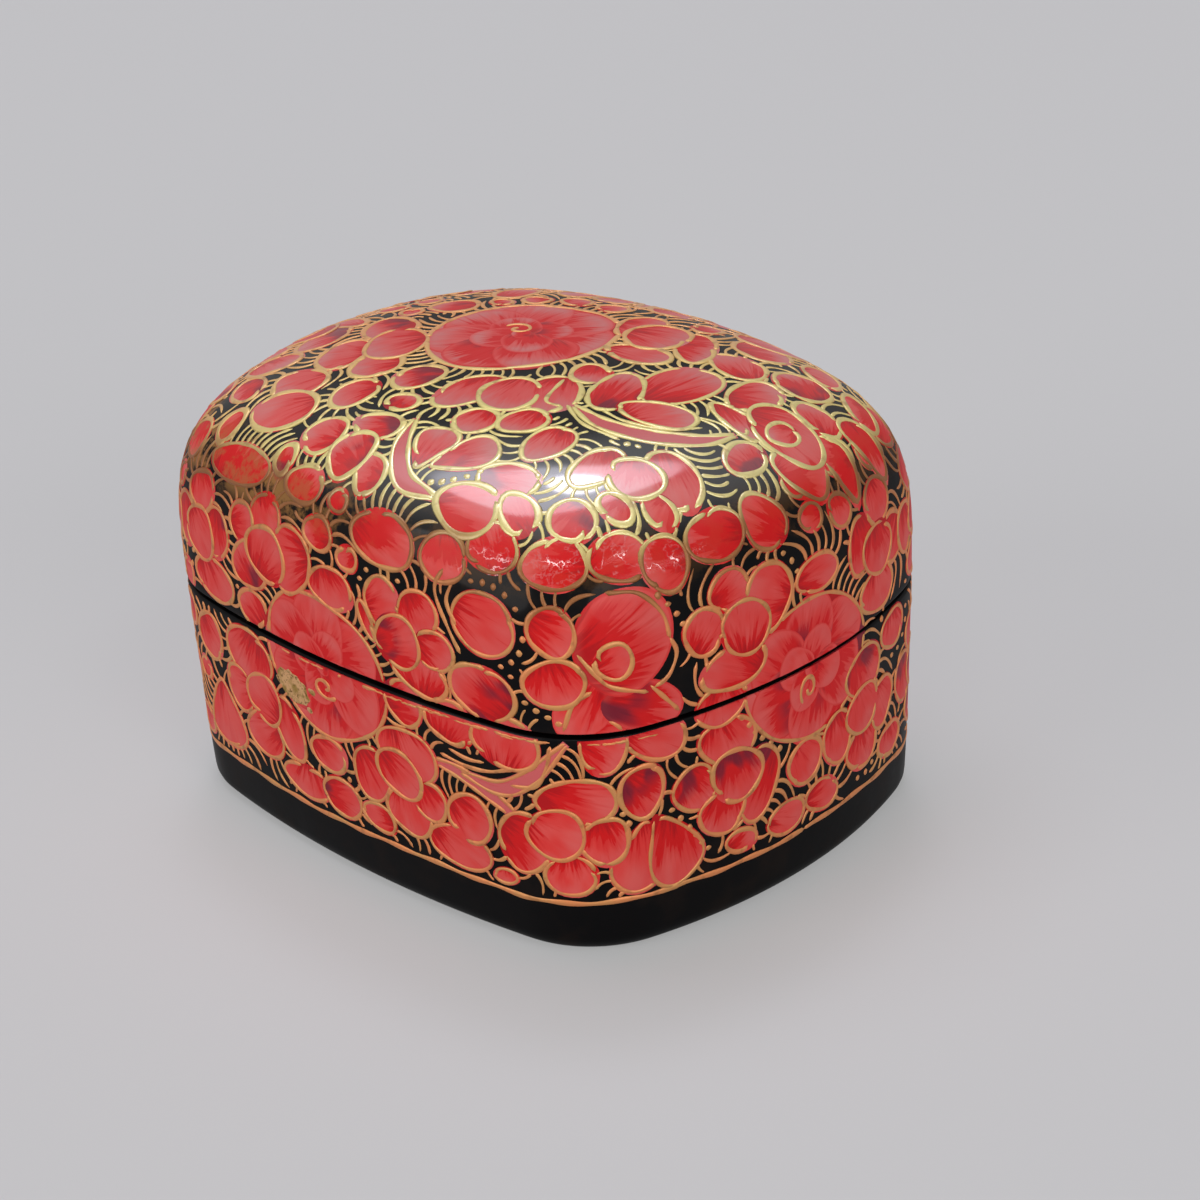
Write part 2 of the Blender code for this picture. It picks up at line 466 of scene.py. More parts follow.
def smeared(finish, place, colour, share):
    """The colour, with rubbed gold over it in patches along the shoulder, most on the near left."""
    x, y, height = finish.apart(place)
    above = finish.fade(height, SMEAR_LOW, SMEAR_LOW + SMEAR_FADE)
    below = finish.fall(height, SMEAR_HIGH - SMEAR_FADE, SMEAR_HIGH)
    patches = finish.fade(finish.noise(place, SMEAR_CLOUDS, 5.0, 0.65), 0.44, 0.58)
    near_left = finish.fall(x, -12 * MM, 12 * MM) * finish.fall(y, -14 * MM, 0.0)
    strength = SMEAR_ELSEWHERE + near_left * (1 - SMEAR_ELSEWHERE)
    return finish.mix(above * below * patches * strength * share, colour, RUBBED_GOLD)


print("varnish and smear ready")

# %% Black lacquer, outside and inside
BLACK = (0.0012, 0.001, 0.0013, 1.0)
WARM_BLACK = (0.006, 0.0034, 0.0026, 1.0)
PULP_WAVES = 260.0
BRUSH_GRAIN = 2600.0
INSIDE_VARNISH = 0.2


def lacquer(name, outside):
    """Black lacquer, with the waves of the pulp and the fine grain of the brush in it."""
    finish = Finish(name)
    place = finish.place()
    pulp = finish.noise(place, PULP_WAVES, 3.0)
    grain = finish.noise(place, BRUSH_GRAIN, 2.0)
    colour = finish.mix(finish.fade(pulp, 0.45, 0.75), BLACK, WARM_BLACK)
    if outside:
        colour = smeared(finish, place, colour, 0.9)
    return finish.done(
        Base_Color=colour,
        Roughness=0.34 + pulp * 0.25,
        Specular_IOR_Level=0.04,
        Normal=finish.bump(pulp * 0.8 + grain * 0.12, 0.05 * MM),
        Coat_Weight=varnish(finish, place) if outside else INSIDE_VARNISH,
        Coat_Roughness=VARNISH_ROUGHNESS,
        Coat_IOR=VARNISH_GLOSS,
    )


BLACK_OUTSIDE = lacquer("black_lacquer_outside", True)
BLACK_INSIDE = lacquer("black_lacquer_inside", False)
print("two black finishes")

# %% [markdown]
# ## The shells
#
# The lower half is a ring of wall with a rounded foot, the floor board closes it, and a thin neck
# stands inside and reaches up into the lid. The lid is one smooth shell: the real join between its wall
# and its crown is filled and painted over. The shells are lofted through rings of the outline, finer
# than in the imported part, and stay a hair inside it to leave room for the paint.

# %% The shells of base, neck and lid
RUNS = np.linspace(0, ROUND, POINTS_AROUND, endpoint=False)
SEAM_BELOW = SEAM_HEIGHT - SEAM_GAP / 2
SEAM_ABOVE = SEAM_HEIGHT + SEAM_GAP / 2
FOOT_STEPS = 6
RIM_STEPS = 3
WALL_STEPS = 10
CROWN_STEPS = 56
TOP_HOLE = 0.4
CEILING_TURN = 0.96
LOOKS_DOWN = -0.5


def level_ring(inset, height):
    x, y = outline(RUNS, inset)
    return np.stack((x, y, np.full(POINTS_AROUND, height)), -1)


def rounded(inset, height, radius, start, end, steps):
    """Rings round an edge: inset and height are the centre of its quarter circle."""
    angles = np.linspace(start, end, steps + 1)
    return [level_ring(inset - radius * math.cos(a), height + radius * math.sin(a)) for a in angles]


def base_rings():
    foot_inset = WALL_LEAN + PAINT_ROOM
    rings = [level_ring(WALL_LEAN + WALL, 0.0)]
    rings += rounded(foot_inset + FOOT_ROUNDING, FOOT_ROUNDING, FOOT_ROUNDING, -math.pi / 2, 0.0, FOOT_STEPS)
    for height in np.linspace(FOOT_ROUNDING, SEAM_BELOW - RIM_ROUNDING, WALL_STEPS)[1:]:
        rings.append(level_ring(lean_at(height) + PAINT_ROOM, height))
    rings += rounded(PAINT_ROOM + RIM_ROUNDING, SEAM_BELOW - RIM_ROUNDING, RIM_ROUNDING,
                     0.0, math.pi / 2, RIM_STEPS)[1:]
    rings.append(level_ring(WALL - RIM_ROUNDING, SEAM_BELOW))
    rings.append(level_ring(WALL, SEAM_BELOW - RIM_ROUNDING))
    return rings


def neck_rings():
    foot = FLOOR_THICKNESS + GLUE_GAP
    foot_inset = lean_at(foot) + WALL + GLUE_GAP
    top_inset = WALL + GLUE_GAP
    top = SEAM_HEIGHT + NECK_RISE
    edge = NECK_THICKNESS / 2
    rings = [level_ring(foot_inset + NECK_THICKNESS, foot), level_ring(foot_inset, foot)]
    rings.append(level_ring(top_inset, SEAM_HEIGHT))
    rings += rounded(top_inset + edge, top - edge, edge, 0.0, math.pi, 2 * RIM_STEPS)
    rings.append(level_ring(top_inset + NECK_THICKNESS, SEAM_HEIGHT))
    return rings


def lid_rings():
    rises = np.linspace(TOP_RISE - TOP_HOLE, CURVE_START, CROWN_STEPS)
    rings = [laid(round_chart, np.stack((RUNS, np.full(POINTS_AROUND, rise)), -1), 0.0)[0] for rise in rises]
    for height in np.linspace(CURVE_START, SEAM_ABOVE + RIM_ROUNDING, WALL_STEPS)[1:]:
        rings.append(level_ring(PAINT_ROOM, height))
    rings += rounded(PAINT_ROOM + RIM_ROUNDING, SEAM_ABOVE + RIM_ROUNDING, RIM_ROUNDING,
                     0.0, -math.pi / 2, RIM_STEPS)[1:]
    rings.append(level_ring(WALL - RIM_ROUNDING, SEAM_ABOVE))
    rings.append(level_ring(WALL, SEAM_ABOVE + RIM_ROUNDING))
    ceiling = HEIGHT - CROWN_THICKNESS
    for turn in np.linspace(0.0, CEILING_TURN, CROWN_STEPS // 2) ** TURN_CROWDING:
        rings.append(crown_point(RUNS, turn, WALL, ceiling))
    return rings


def two_tone(piece):
    """Gives the faces that look inwards the finish of the inside."""
    piece.data.materials.append(BLACK_INSIDE)
    for face in piece.data.polygons:
        middle = face.center
        faces_middle = face.normal.dot(Vector((middle.x, middle.y, 0.0))) < 0
        is_ceiling = face.normal.z < LOOKS_DOWN and middle.z > SEAM_HEIGHT * MM
        face.material_index = 1 if faces_middle or is_ceiling else 0


base_shell = loft("base_shell", base_rings(), True, BLACK_OUTSIDE)
neck_strip = loft("neck_strip", neck_rings(), True, BLACK_INSIDE)
lid_shell = loft("lid_shell", lid_rings(), False, BLACK_OUTSIDE)
two_tone(base_shell)
two_tone(lid_shell)
for shell, body, nodes in (
    (base_shell, "base", ("base_wall",)),
    (neck_strip, "base", ("inner_collar",)),
    (lid_shell, "lid", ("lid_wall", "lid_crown")),
):
    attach(shell, body)
    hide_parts(*nodes)
floor_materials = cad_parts["base_floor"].data.materials
floor_materials.clear()
floor_materials.append(BLACK_INSIDE)
print("shells:", [len(shell.data.polygons) for shell in (base_shell, neck_strip, lid_shell)], "faces")

# %% [markdown]
# ## Paint as thin pads
#
# Each patch of paint is a thin closed body on the wall. Rings of points inside its rim are laid on a
# chart, the rim is turned down into the ground, and the underside is closed out of sight. Where patches
# overlap, the later one lies a step higher, so they never share a surface. A pad knows its rim, which is
# where the paint ends, and its line, which is where the gold will go, so that later steps can ask what it
# covers.

# %% What every pad of paint knows
PAD_HEIGHT = 0.03
LEVEL_STEP = 0.009
SUNK = -0.06
BEVEL = 0.12
EDGE_HEIGHT = 0.4
GRAIN = 0.7
NEARLY_LEVEL = 0.9
MOST_PADS = 2000
chance = random.Random(7)
pads = []
pad_places = np.zeros((MOST_PADS, 4))


def pads_within(middle, reach):
    """The pads laid so far that come within reach of a place."""
    known = pad_places[:len(pads)]
    apart = np.linalg.norm(known[:, :3] - middle, axis=1)
    return [pads[index] for index in np.flatnonzero(apart < known[:, 3] + reach)]


def pads_near(points):
    """The pads laid so far that come near any of the points."""
    middle = points.mean(axis=0)
    return pads_within(middle, np.linalg.norm(points - middle, axis=1).max())


class Pad:
    """A thin layer of paint: it knows what it covers and how high it lies on the others."""

    def __init__(self, chart, middle, line, rim, ringed):
        self.chart = chart
        self.middle = np.array(middle)
        self.line = line
        self.rim = rim
        self.ringed = ringed
        self.seed = chance.random()
        points, outward = laid(chart, np.vstack((self.middle[None], rim, line)), 0.0)
        self.centre = points[0]
        self.normal = outward[0]
        upright = (0.0, 0.0, 1.0) if abs(self.normal[2]) < NEARLY_LEVEL else (1.0, 0.0, 0.0)
        self.across = unit(np.cross(upright, self.normal))
        self.along = np.cross(self.normal, self.across)
        self.edge = points[1:1 + len(rim)]
        self.flat_rim = self.flatten(self.edge)
        self.flat_line = self.flatten(points[1 + len(rim):])
        self.radius = np.linalg.norm(self.edge - self.centre, axis=1).max()
        under = [other.level for other in pads_within(self.centre, self.radius)
                 if other.covers(self.edge).any() or self.covers(other.edge).any()]
        self.level = 1 + max(under, default=-1)
        self.order = len(pads)
        self.shown_over = self.order
        pad_places[self.order] = (*self.centre, self.radius)
        pads.append(self)

    def flatten(self, points):
        local = points - self.centre
        return np.stack((local @ self.across, local @ self.along), -1)

    def covers(self, points, by_line=False):
        """Which of the points on the box lie within this pad's rim, or within its line."""
        x, y = self.flatten(points).T[:, :, None]
        corners = self.flat_line if by_line else self.flat_rim
        start_x, start_y = corners.T
        end_x, end_y = np.roll(corners, -1, axis=0).T
        straddles = (start_y > y) != (end_y > y)
        rise = np.where(end_y == start_y, 1.0, end_y - start_y)
        crossed = straddles & (x < (end_x - start_x) * (y - start_y) / rise + start_x)
        close = np.abs((points - self.centre) @ self.normal) < self.radius
        return (crossed.sum(axis=1) % 2 == 1) & close

    def height(self):
        return PAD_HEIGHT + self.level * LEVEL_STEP


def turned(points, degrees):
    angle = math.radians(degrees)
    x, y = points[..., 0], points[..., 1]
    cosine, sine = math.cos(angle), math.sin(angle)
    return np.stack((x * cosine - y * sine, x * sine + y * cosine), -1)


print("ready to paint")

# %% [markdown]
# ## Daubs and leaves
#
# Nearly all of the ornament is made of two brush shapes. A daub is an oval pressed from a full brush.
# A leaf is a crescent drawn along a curve. Both keep each point's place within the shape, which is what
# the brush strokes in the finish run along.

# %% Daubs
PAINT_MARGIN = 0.3
FEWEST_POINTS = 24
WOBBLES = ((2, 0.028), (3, 0.022), (5, 0.01))
ANY_PHASE = (0, 6.28)
OPEN_END = 9
LINE_SWAY = 0.07
LINE_WAVES = 9.4
START_INSET = 0.12
END_INSET = (0.15, 0.7)
LINE_LENGTH = (0.95, 1.1)


class Daub(Pad):
    """An oval of paint: tilt is the way its long axis points, dark the way to its crimson end."""

    def __init__(self, chart, u, v, long, wide, tilt=0, dark=120, egg=0.1, ringed=True,
                 margin=PAINT_MARGIN, ragged=0.0):
        count = max(FEWEST_POINTS, 4 * round(math.pi * (long + wide) / 8 / GRAIN))
        angles = np.linspace(0, 2 * math.pi, count, endpoint=False)
        wobble = np.ones(count)
        for waves, depth in WOBBLES:
            wobble += depth * np.sin(waves * angles + chance.uniform(*ANY_PHASE))
        wobble += ragged * np.array([chance.uniform(-1, 1) for _ in range(count)])
        x = long / 2 * np.cos(angles) * wobble
        y = wide / 2 * np.sin(angles) * wobble * (1 + egg * np.cos(angles))
        line = np.stack((x, y), -1)
        outset = 1 + margin / np.linalg.norm(line, axis=1, keepdims=True)
        self.dark = dark
        rim = turned(line * outset, tilt) + (u, v)
        super().__init__(chart, (u, v), turned(line, tilt) + (u, v), rim, ringed)

    def body(self):
        """Points, faces, facts and outward directions."""
        count = len(self.rim)
        rings = max(3, round(self.radius / GRAIN))
        shares = np.concatenate((np.linspace(0, 1 - BEVEL / self.radius, rings + 1)[1:], (1.0, 1.0)))
        height = self.height()
        lifts = np.concatenate((np.full(rings, height), (height * EDGE_HEIGHT, SUNK)))
        drawn = self.middle + shares[:, None, None] * (self.rim - self.middle)
        drawn = np.vstack((self.middle[None], drawn.reshape(-1, 2), self.middle[None]))
        lifts = np.concatenate(((height,), np.repeat(lifts, count), (SUNK,)))
        points, outward = laid(self.chart, drawn, lifts)
        towards = np.array((math.cos(math.radians(self.dark)), math.sin(math.radians(self.dark))))
        beside = np.array((-towards[1], towards[0]))
        along = 0.5 - 0.5 * ((drawn - self.middle) @ towards) / ((self.rim - self.middle) @ towards).max()
        edge = np.concatenate(((0.0,), np.repeat(shares, count), (0.0,)))
        facts = np.zeros((len(drawn), 6))
        facts[:, 0] = along
        facts[:, 1] = (drawn - self.middle) @ beside
        facts[:, 2] = self.seed
        facts[:, 3] = edge
        facts[:, 4] = 0.0 if self.ringed else 1.0
        return points, self.faces(count, len(shares)), facts, outward

    def faces(self, count, rings):
        """A band between each ring and the next, a fan in the middle, and a fan underneath."""
        here = np.arange(count)
        after = (here + 1) % count
        last = 1 + (rings - 1) * count
        top = np.column_stack((np.zeros(count, dtype=int), 1 + here, 1 + after))
        bottom = np.column_stack((last + here, np.full(count, last + count), last + after))
        return bands(rings, count, first=1) + top.tolist() + bottom.tolist()

    def gold_lines(self):
        """One stroke round the daub, begun anywhere, that wanders a little and turns in at its end."""
        count = len(self.line)
        length = round(count * chance.uniform(*LINE_LENGTH))
        shape = self.line[(chance.randrange(count) + np.arange(length)) % count]
        reach = np.linalg.norm(shape - self.middle, axis=1, keepdims=True)
        share = np.linspace(0, 1, length)[:, None]
        start = np.clip(1 - share * OPEN_END, 0, 1)
        end = np.clip(1 - (1 - share) * OPEN_END, 0, 1)
        inset = LINE_SWAY * np.sin(share * LINE_WAVES + chance.uniform(*ANY_PHASE))
        inset += START_INSET * start + chance.uniform(*END_INSET) * end**2
        return [self.middle + (shape - self.middle) * (1 - np.minimum(inset / reach, 0.5))]


print("daubs have a gold line", PAINT_MARGIN, "mm inside their rim")

# %% Leaves
LINE_STEP = 0.42
LEAF_MARGIN = 0.25
LEAF_TIP = 0.03
LEAF_FULLNESS = 0.7
LEAF_SHARES = np.array((-1, -1, -0.8, 0, 0.8, 1, 1))


def smooth_line(corners, step=LINE_STEP):
    """A smooth line through a few corners, sampled evenly enough for the brush."""
    corners = np.array(corners, dtype=float)
    before = np.vstack((2 * corners[0] - corners[1], corners[:-1]))
    after = np.vstack((corners[1:], 2 * corners[-1] - corners[-2]))
    slopes = (after - before) / 2
    line = []
    for index in range(len(corners) - 1):
        start, end = corners[index], corners[index + 1]
        count = max(1, round(np.linalg.norm(end - start) / step))
        t = np.linspace(0, 1, count, endpoint=False)[:, None]
        line.append((2 * t**3 - 3 * t**2 + 1) * start + (t**3 - 2 * t**2 + t) * slopes[index]
                    + (3 * t**2 - 2 * t**3) * end + (t**3 - t**2) * slopes[index + 1])
    line.append(corners[-1:])
    return np.vstack(line)


def tube_faces(sections, count):
    """Faces of a closed tube through sections of count points, with both ends closed."""
    last = (sections - 1) * count
    return bands(sections, count) + [list(range(count)), list(range(last + count - 1, last - 1, -1))]


class Leaf(Pad):
    """A crescent of paint along a curved spine, widest in the middle."""

    def __init__(self, chart, spine, width):
        self.spine = smooth_line(spine, GRAIN)
        self.place = np.linspace(0, 1, len(self.spine))
        heading = unit(np.gradient(self.spine, axis=0))
        self.side = np.stack((-heading[:, 1], heading[:, 0]), -1)
        fullness = np.sin(math.pi * np.clip(self.place, LEAF_TIP, 1 - LEAF_TIP)) ** LEAF_FULLNESS
        self.half = width / 2 * fullness
        middle = self.spine[len(self.spine) // 2]
        super().__init__(chart, middle, np.vstack(self.edges(0.0)), np.vstack(self.edges(LEAF_MARGIN)), True)

    def edges(self, margin):
        """Both edges, one forwards and one back, so that together they go round the leaf."""
        reach = (self.half + margin)[:, None] * self.side
        return self.spine - reach, (self.spine + reach)[::-1]

    def body(self):
        reach = (self.half + LEAF_MARGIN)[:, None] * LEAF_SHARES
        drawn = (self.spine[:, None] + self.side[:, None] * reach[..., None]).reshape(-1, 2)
        height = self.height()
        lifts = (SUNK, height * EDGE_HEIGHT, height, height, height, height * EDGE_HEIGHT, SUNK)
        points, outward = laid(self.chart, drawn, np.tile(lifts, len(self.spine)))
        facts = np.zeros((len(drawn), 6))
        facts[:, 0] = np.repeat(self.place, len(lifts))
        facts[:, 1] = reach.ravel()
        facts[:, 2] = self.seed
        facts[:, 3] = np.tile(np.abs(LEAF_SHARES), len(self.spine))
        facts[:, 5] = 1.0
        return points, tube_faces(len(self.spine), len(lifts)), facts, outward

    def gold_lines(self):
        return list(self.edges(0.0))


print("leaves have", len(LEAF_SHARES), "points across")

# %% [markdown]
# ## The flowers
#
# The ornament is the traditional one of such boxes: five-lobed flowers round an oval heart, big open
# roses with a curl in the middle, single buds, and pairs of drops that make a heart. Each row below is
# one daub: its middle on the chart, its length and width, the way it points and the way to its dark
# end. A flower is painted from the back to the front, so its heart comes last.

# %% Daubs of the lower half: distance round, height, length, width, tilt, dark end
BASE_DAUBS = (
    (162.5, 21.4, 9.0, 6.2, 0, 60), (159.8, 16.3, 5.6, 5.0, 90, 20), (164.0, 12.2, 7.0, 5.6, 20, 30),
    (169.0, 14.6, 7.6, 4.6, 110, 100), (164.6, 16.8, 6.4, 5.8, 0, -30),
    (171.0, 9.0, 7.6, 4.0, 0, 80), (175.6, 14.0, 5.6, 4.2, 0, 150), (177.0, 9.2, 6.0, 4.6, 0, 180),
    (182.9, 8.9, 4.8, 3.2, -10, 0),
    (188.2, 18.2, 8.2, 6.0, -8, 110), (182.5, 14.0, 6.4, 5.6, 70, 120), (187.6, 11.2, 6.2, 5.4, 0, 100),
    (190.9, 13.5, 4.6, 4.4, 0, 120), (186.8, 15.5, 6.6, 5.2, -15, 140),
    (188.4, 24.3, 5.0, 5.2, 0, 200), (194.6, 24.0, 6.4, 5.0, 0, 250), (201.6, 23.6, 8.0, 6.0, 0, 260),
    (194.5, 9.3, 8.0, 4.8, 0, 150), (196.2, 13.2, 6.0, 5.4, 20, 140), (200.4, 7.7, 3.0, 1.6, 10, 90),
    (209.2, 17.8, 8.4, 5.2, 0, 160), (203.2, 12.4, 7.2, 6.2, 70, 150), (208.2, 9.3, 5.6, 4.6, 0, 90),
    (212.0, 13.2, 5.0, 5.4, 0, 100), (206.8, 14.0, 6.2, 5.8, -10, 150),
    (218.0, 23.8, 6.6, 4.6, -10, 150), (212.3, 24.0, 6.0, 4.8, 90, 150), (216.2, 18.3, 6.0, 4.9, 95, 130),
    (222.2, 16.8, 5.2, 5.0, 0, 120), (226.4, 20.9, 7.6, 5.0, -15, 110), (230.4, 14.4, 8.6, 5.4, 75, 60),
    (225.6, 12.9, 5.8, 5.0, -10, 80), (227.6, 16.6, 6.8, 5.8, -35, 100), (225.6, 25.2, 6.0, 4.6, 0, 90),
    (228.1, 8.6, 4.0, 2.6, -15, 200), (240.2, 9.0, 5.6, 3.5, -10, 180), (234.5, 8.7, 5.4, 3.7, 0, 160),
    (237.3, 14.2, 5.4, 5.0, 0, 120),
    (242.8, 14.6, 6.4, 4.8, 100, 100), (247.8, 20.4, 7.0, 5.6, 0, 120), (247.6, 11.4, 6.0, 5.2, 0, 100),
    (252.0, 14.8, 6.0, 4.6, 80, 120), (247.6, 16.0, 6.4, 5.4, 0, 110),
    (254.4, 22.6, 5.4, 4.6, 0, 100), (254.2, 9.2, 5.4, 3.8, 0, 100), (154.2, 20.8, 5.2, 5.6, 0, 120),
    (262.0, 19.8, 7.5, 5.4, 0, 100), (258.0, 15.0, 6.0, 4.8, 90, 100), (266.0, 15.0, 6.0, 4.8, 90, 100),
    (262.0, 10.6, 6.4, 4.8, 0, 100), (262.0, 15.4, 6.0, 5.4, 0, 100), (267.4, 22.4, 5.0, 4.0, 0, 60),
    (268.4, 8.8, 4.8, 3.4, 0, 150),
)
BASE_DROPS = (
    (215.8, 10.9, 8.2, 5.4, 260, 90), (219.4, 10.9, 8.8, 5.6, 295, 90), (155.8, 11.6, 8.4, 6.6, 275, 90),
)

# %% Daubs of the lid's wall and shoulder
LID_DAUBS = (
    (155.0, 38.4, 5.4, 4.6, 0, 120), (158.6, 34.4, 5.8, 4.6, 80, 90), (157.0, 28.6, 8.0, 4.8, -5, 120),
    (151.6, 34.0, 6.0, 5.0, 90, 100), (154.8, 33.4, 6.0, 6.0, 0, 120),
    (168.0, 39.4, 5.2, 4.8, 0, 120), (163.6, 37.4, 4.4, 4.6, 0, 200), (164.8, 32.8, 6.4, 5.6, 20, -60),
    (172.4, 35.6, 8.2, 6.0, 65, 20), (168.0, 35.0, 6.8, 6.2, 0, 240), (164.6, 27.8, 5.4, 3.8, 0, -40),
    (178.8, 34.4, 6.6, 4.6, 0, 110), (177.0, 40.0, 4.4, 3.6, 0, 0),
    (186.6, 34.8, 5.8, 5.0, 100, 200), (191.4, 35.2, 5.2, 4.6, 10, 120), (191.0, 28.2, 7.4, 4.2, -10, 270),
    (193.4, 31.6, 4.8, 4.4, 0, 160), (188.3, 31.2, 6.2, 5.8, 0, 200),
    (199.8, 36.0, 7.4, 6.6, 0, 160), (199.2, 28.6, 8.0, 5.8, 0, -30),
    (207.6, 36.4, 4.8, 5.0, 0, 150), (207.6, 31.0, 6.4, 5.0, 10, 100), (213.8, 33.2, 3.9, 3.7, 0, 200),
    (223.8, 33.8, 4.6, 5.0, 0, 240), (227.2, 37.2, 5.0, 4.2, 0, 200), (232.2, 34.8, 7.4, 6.2, 75, -20),
    (227.4, 28.9, 8.2, 4.7, 5, -30), (229.0, 32.8, 6.4, 5.8, -20, 270),
    (239.4, 35.0, 6.6, 4.0, -5, 180), (239.6, 41.0, 3.4, 2.8, 0, 0), (244.4, 40.0, 3.4, 4.0, 60, 100),
    (247.4, 35.0, 6.4, 4.8, 80, 100), (251.6, 38.4, 5.6, 4.6, 0, 100), (254.4, 33.2, 5.6, 4.8, 90, 60),
    (250.6, 28.8, 7.4, 4.8, 0, 100), (250.8, 33.4, 6.2, 5.8, 0, 100),
    (262.0, 38.0, 6.0, 4.8, 0, 100), (257.9, 33.0, 5.6, 4.4, 90, 100), (266.1, 33.0, 5.6, 4.6, 90, 100),
    (262.0, 28.4, 7.4, 4.6, 0, 100), (262.0, 33.2, 6.0, 5.4, 0, 100),
    (186.4, 41.7, 8.8, 5.6, -8, 160), (184.1, 32.4, 4.4, 1.6, 112, 90),
    (160.8, 43.2, 11.6, 4.4, 5, 250), (173.2, 44.4, 6.2, 4.0, 0, 250), (194.8, 41.6, 6.0, 4.8, 10, 90),
    (201.2, 43.6, 6.4, 4.6, 10, 300), (208.4, 42.7, 7.2, 4.5, 5, 0), (215.4, 43.0, 6.6, 4.3, -5, 200),
    (220.3, 41.6, 5.6, 5.0, -30, 0), (226.8, 42.8, 7.0, 5.0, 5, -10), (233.2, 42.6, 6.0, 5.4, -60, -40),
    (240.8, 44.8, 6.6, 3.8, 0, 120), (247.8, 44.6, 6.2, 4.0, 0, 0), (254.4, 43.2, 5.6, 4.2, 0, 30),
    (261.0, 43.4, 6.4, 4.2, 0, 200), (267.6, 42.8, 5.4, 4.2, 0, 120),
)

# %% Daubs of the top: x, y, length, width, tilt, dark end
TOP_DAUBS = (
    (-19.0, -3.2, 8.0, 6.2, -50, 60), (-17.4, -11.4, 8.4, 5.6, -60, 30), (-11.4, -11.8, 7.0, 5.2, -70, 45),
    (-14.4, -6.4, 9.2, 6.8, -55, 60), (-18.8, 6.2, 5.6, 5.0, 40, 20), (-4.8, -12.0, 6.4, 5.0, 100, 60),
    (-8.2, -18.0, 5.9, 4.9, 90, 50),
    (10.0, -6.8, 9.4, 6.0, -50, 120), (2.6, -11.4, 9.0, 6.0, 80, 110), (8.2, -15.9, 5.0, 4.6, 0, 100),
    (12.4, -13.2, 5.2, 4.8, 60, 100), (6.6, -9.4, 8.2, 6.4, -60, 110), (9.4, -0.5, 5.4, 4.2, -45, 120),
    (18.4, 3.4, 10.2, 7.8, 100, 270), (14.8, -2.0, 9.4, 5.6, -62, 290), (21.4, -3.2, 8.2, 5.0, 20, 250),
    (18.6, 12.2, 7.4, 5.2, -10, -30),
    (3.2, 13.6, 7.6, 5.0, 110, 200), (12.2, 12.6, 9.2, 4.6, 130, 200), (9.2, 6.8, 8.0, 4.6, 10, 190),
    (7.0, 12.2, 8.2, 7.0, 110, 190),
)
TOP_DAUBS_TWICE = (
    (-16.6, -18.5, 7.2, 5.6, -10, 50), (-14.4, -22.6, 8.8, 5.4, 5, 35), (-23.4, -20.2, 5.6, 3.8, -30, 60),
    (-5.8, -24.4, 5.4, 4.4, 0, 0), (-0.6, -21.4, 6.0, 3.8, 0, 20), (3.4, -26.4, 4.4, 3.2, -40, 0),
    (-0.6, -25.3, 5.4, 5.0, 0, -20),
    (24.6, 8.0, 8.0, 5.0, 100, 230), (30.0, 11.6, 5.0, 4.4, 0, -30), (34.2, 9.6, 4.6, 4.2, 60, 90),
    (34.4, 3.8, 6.4, 4.0, 80, 270), (27.0, 2.6, 7.2, 3.2, -8, 160), (31.6, -1.4, 5.2, 3.6, 95, 0),
    (30.4, 6.0, 8.6, 7.0, -20, 210), (30.8, 5.2, 4.0, 2.9, 100, 90),
    (25.0, 15.0, 6.4, 5.4, 20, -20), (32.6, 15.6, 5.0, 4.0, 60, 180), (29.4, 19.2, 5.4, 3.4, -30, 100),
    (17.6, -14.9, 6.4, 4.7, 95, 110),
    (29.6, -9.6, 7.6, 4.8, -20, 150), (23.9, -14.5, 7.0, 4.2, 95, 120), (31.4, -13.6, 3.4, 3.0, 0, 100),
    (28.6, -16.9, 3.6, 3.0, 0, 100), (27.4, -12.8, 5.6, 5.2, 0, 130),
    (18.2, -21.2, 6.8, 4.2, 20, 200), (21.8, -23.4, 4.8, 3.4, -10, -20), (16.4, -25.2, 7.6, 4.2, 5, 200),
    (26.6, -20.8, 4.8, 4.0, 40, 90),
)
TOP_DROPS_TWICE = ((7.6, -21.4, 5.8, 4.2, 100, 280), (11.8, -20.8, 7.0, 4.4, 50, 230))

# %% Leaves of the walls and of the top: spine, width
ROUND_LEAVES = (
    (((191.2, 18.9), (196.0, 18.2), (200.8, 16.2), (203.4, 14.4)), 1.5),
    (((195.6, 18.5), (200.6, 18.1), (204.6, 20.4), (208.6, 24.6)), 1.7),
)
TOP_LEAVES = (
    (((13.8, -7.6), (19.0, -8.5), (24.0, -6.9), (27.6, -3.4), (28.9, 0.4)), 2.2),
)
TOP_LEAVES_TWICE = (
    (((2.4, -18.8), (4.4, -22.8), (7.8, -25.8), (12.6, -26.0)), 1.8),
)
WING_DAUBS = (
    (210.4, 28.2, 6.4, 5.2, 50, 60), (216.6, 27.9, 8.6, 5.0, -12, 160), (215.0, 34.9, 10.8, 9.8, 75, 200),
)
TOP_ROSE = (-4.8, 3.2, 20.4, 21.0)
ROSES = ((176.4, 24.6, 18.6, 16.6), (238.2, 24.8, 19.0, 15.6))
CHIPS = (
    (170.5, 20.4, 5.6, 3.6), (174.0, 20.9, 1.3, 0.8), (173.2, 18.4, 1.0, 0.7), (166.8, 22.6, 1.1, 0.6),
)
print(len(BASE_DAUBS) + len(LID_DAUBS) + len(TOP_DAUBS) + len(TOP_DAUBS_TWICE), "rows of daubs")

# %% Paint the flowers
DROP_EGG = 0.55
CHIP_TILT = -14
CHIP_RAGGED = 0.1
HEART = 0.24

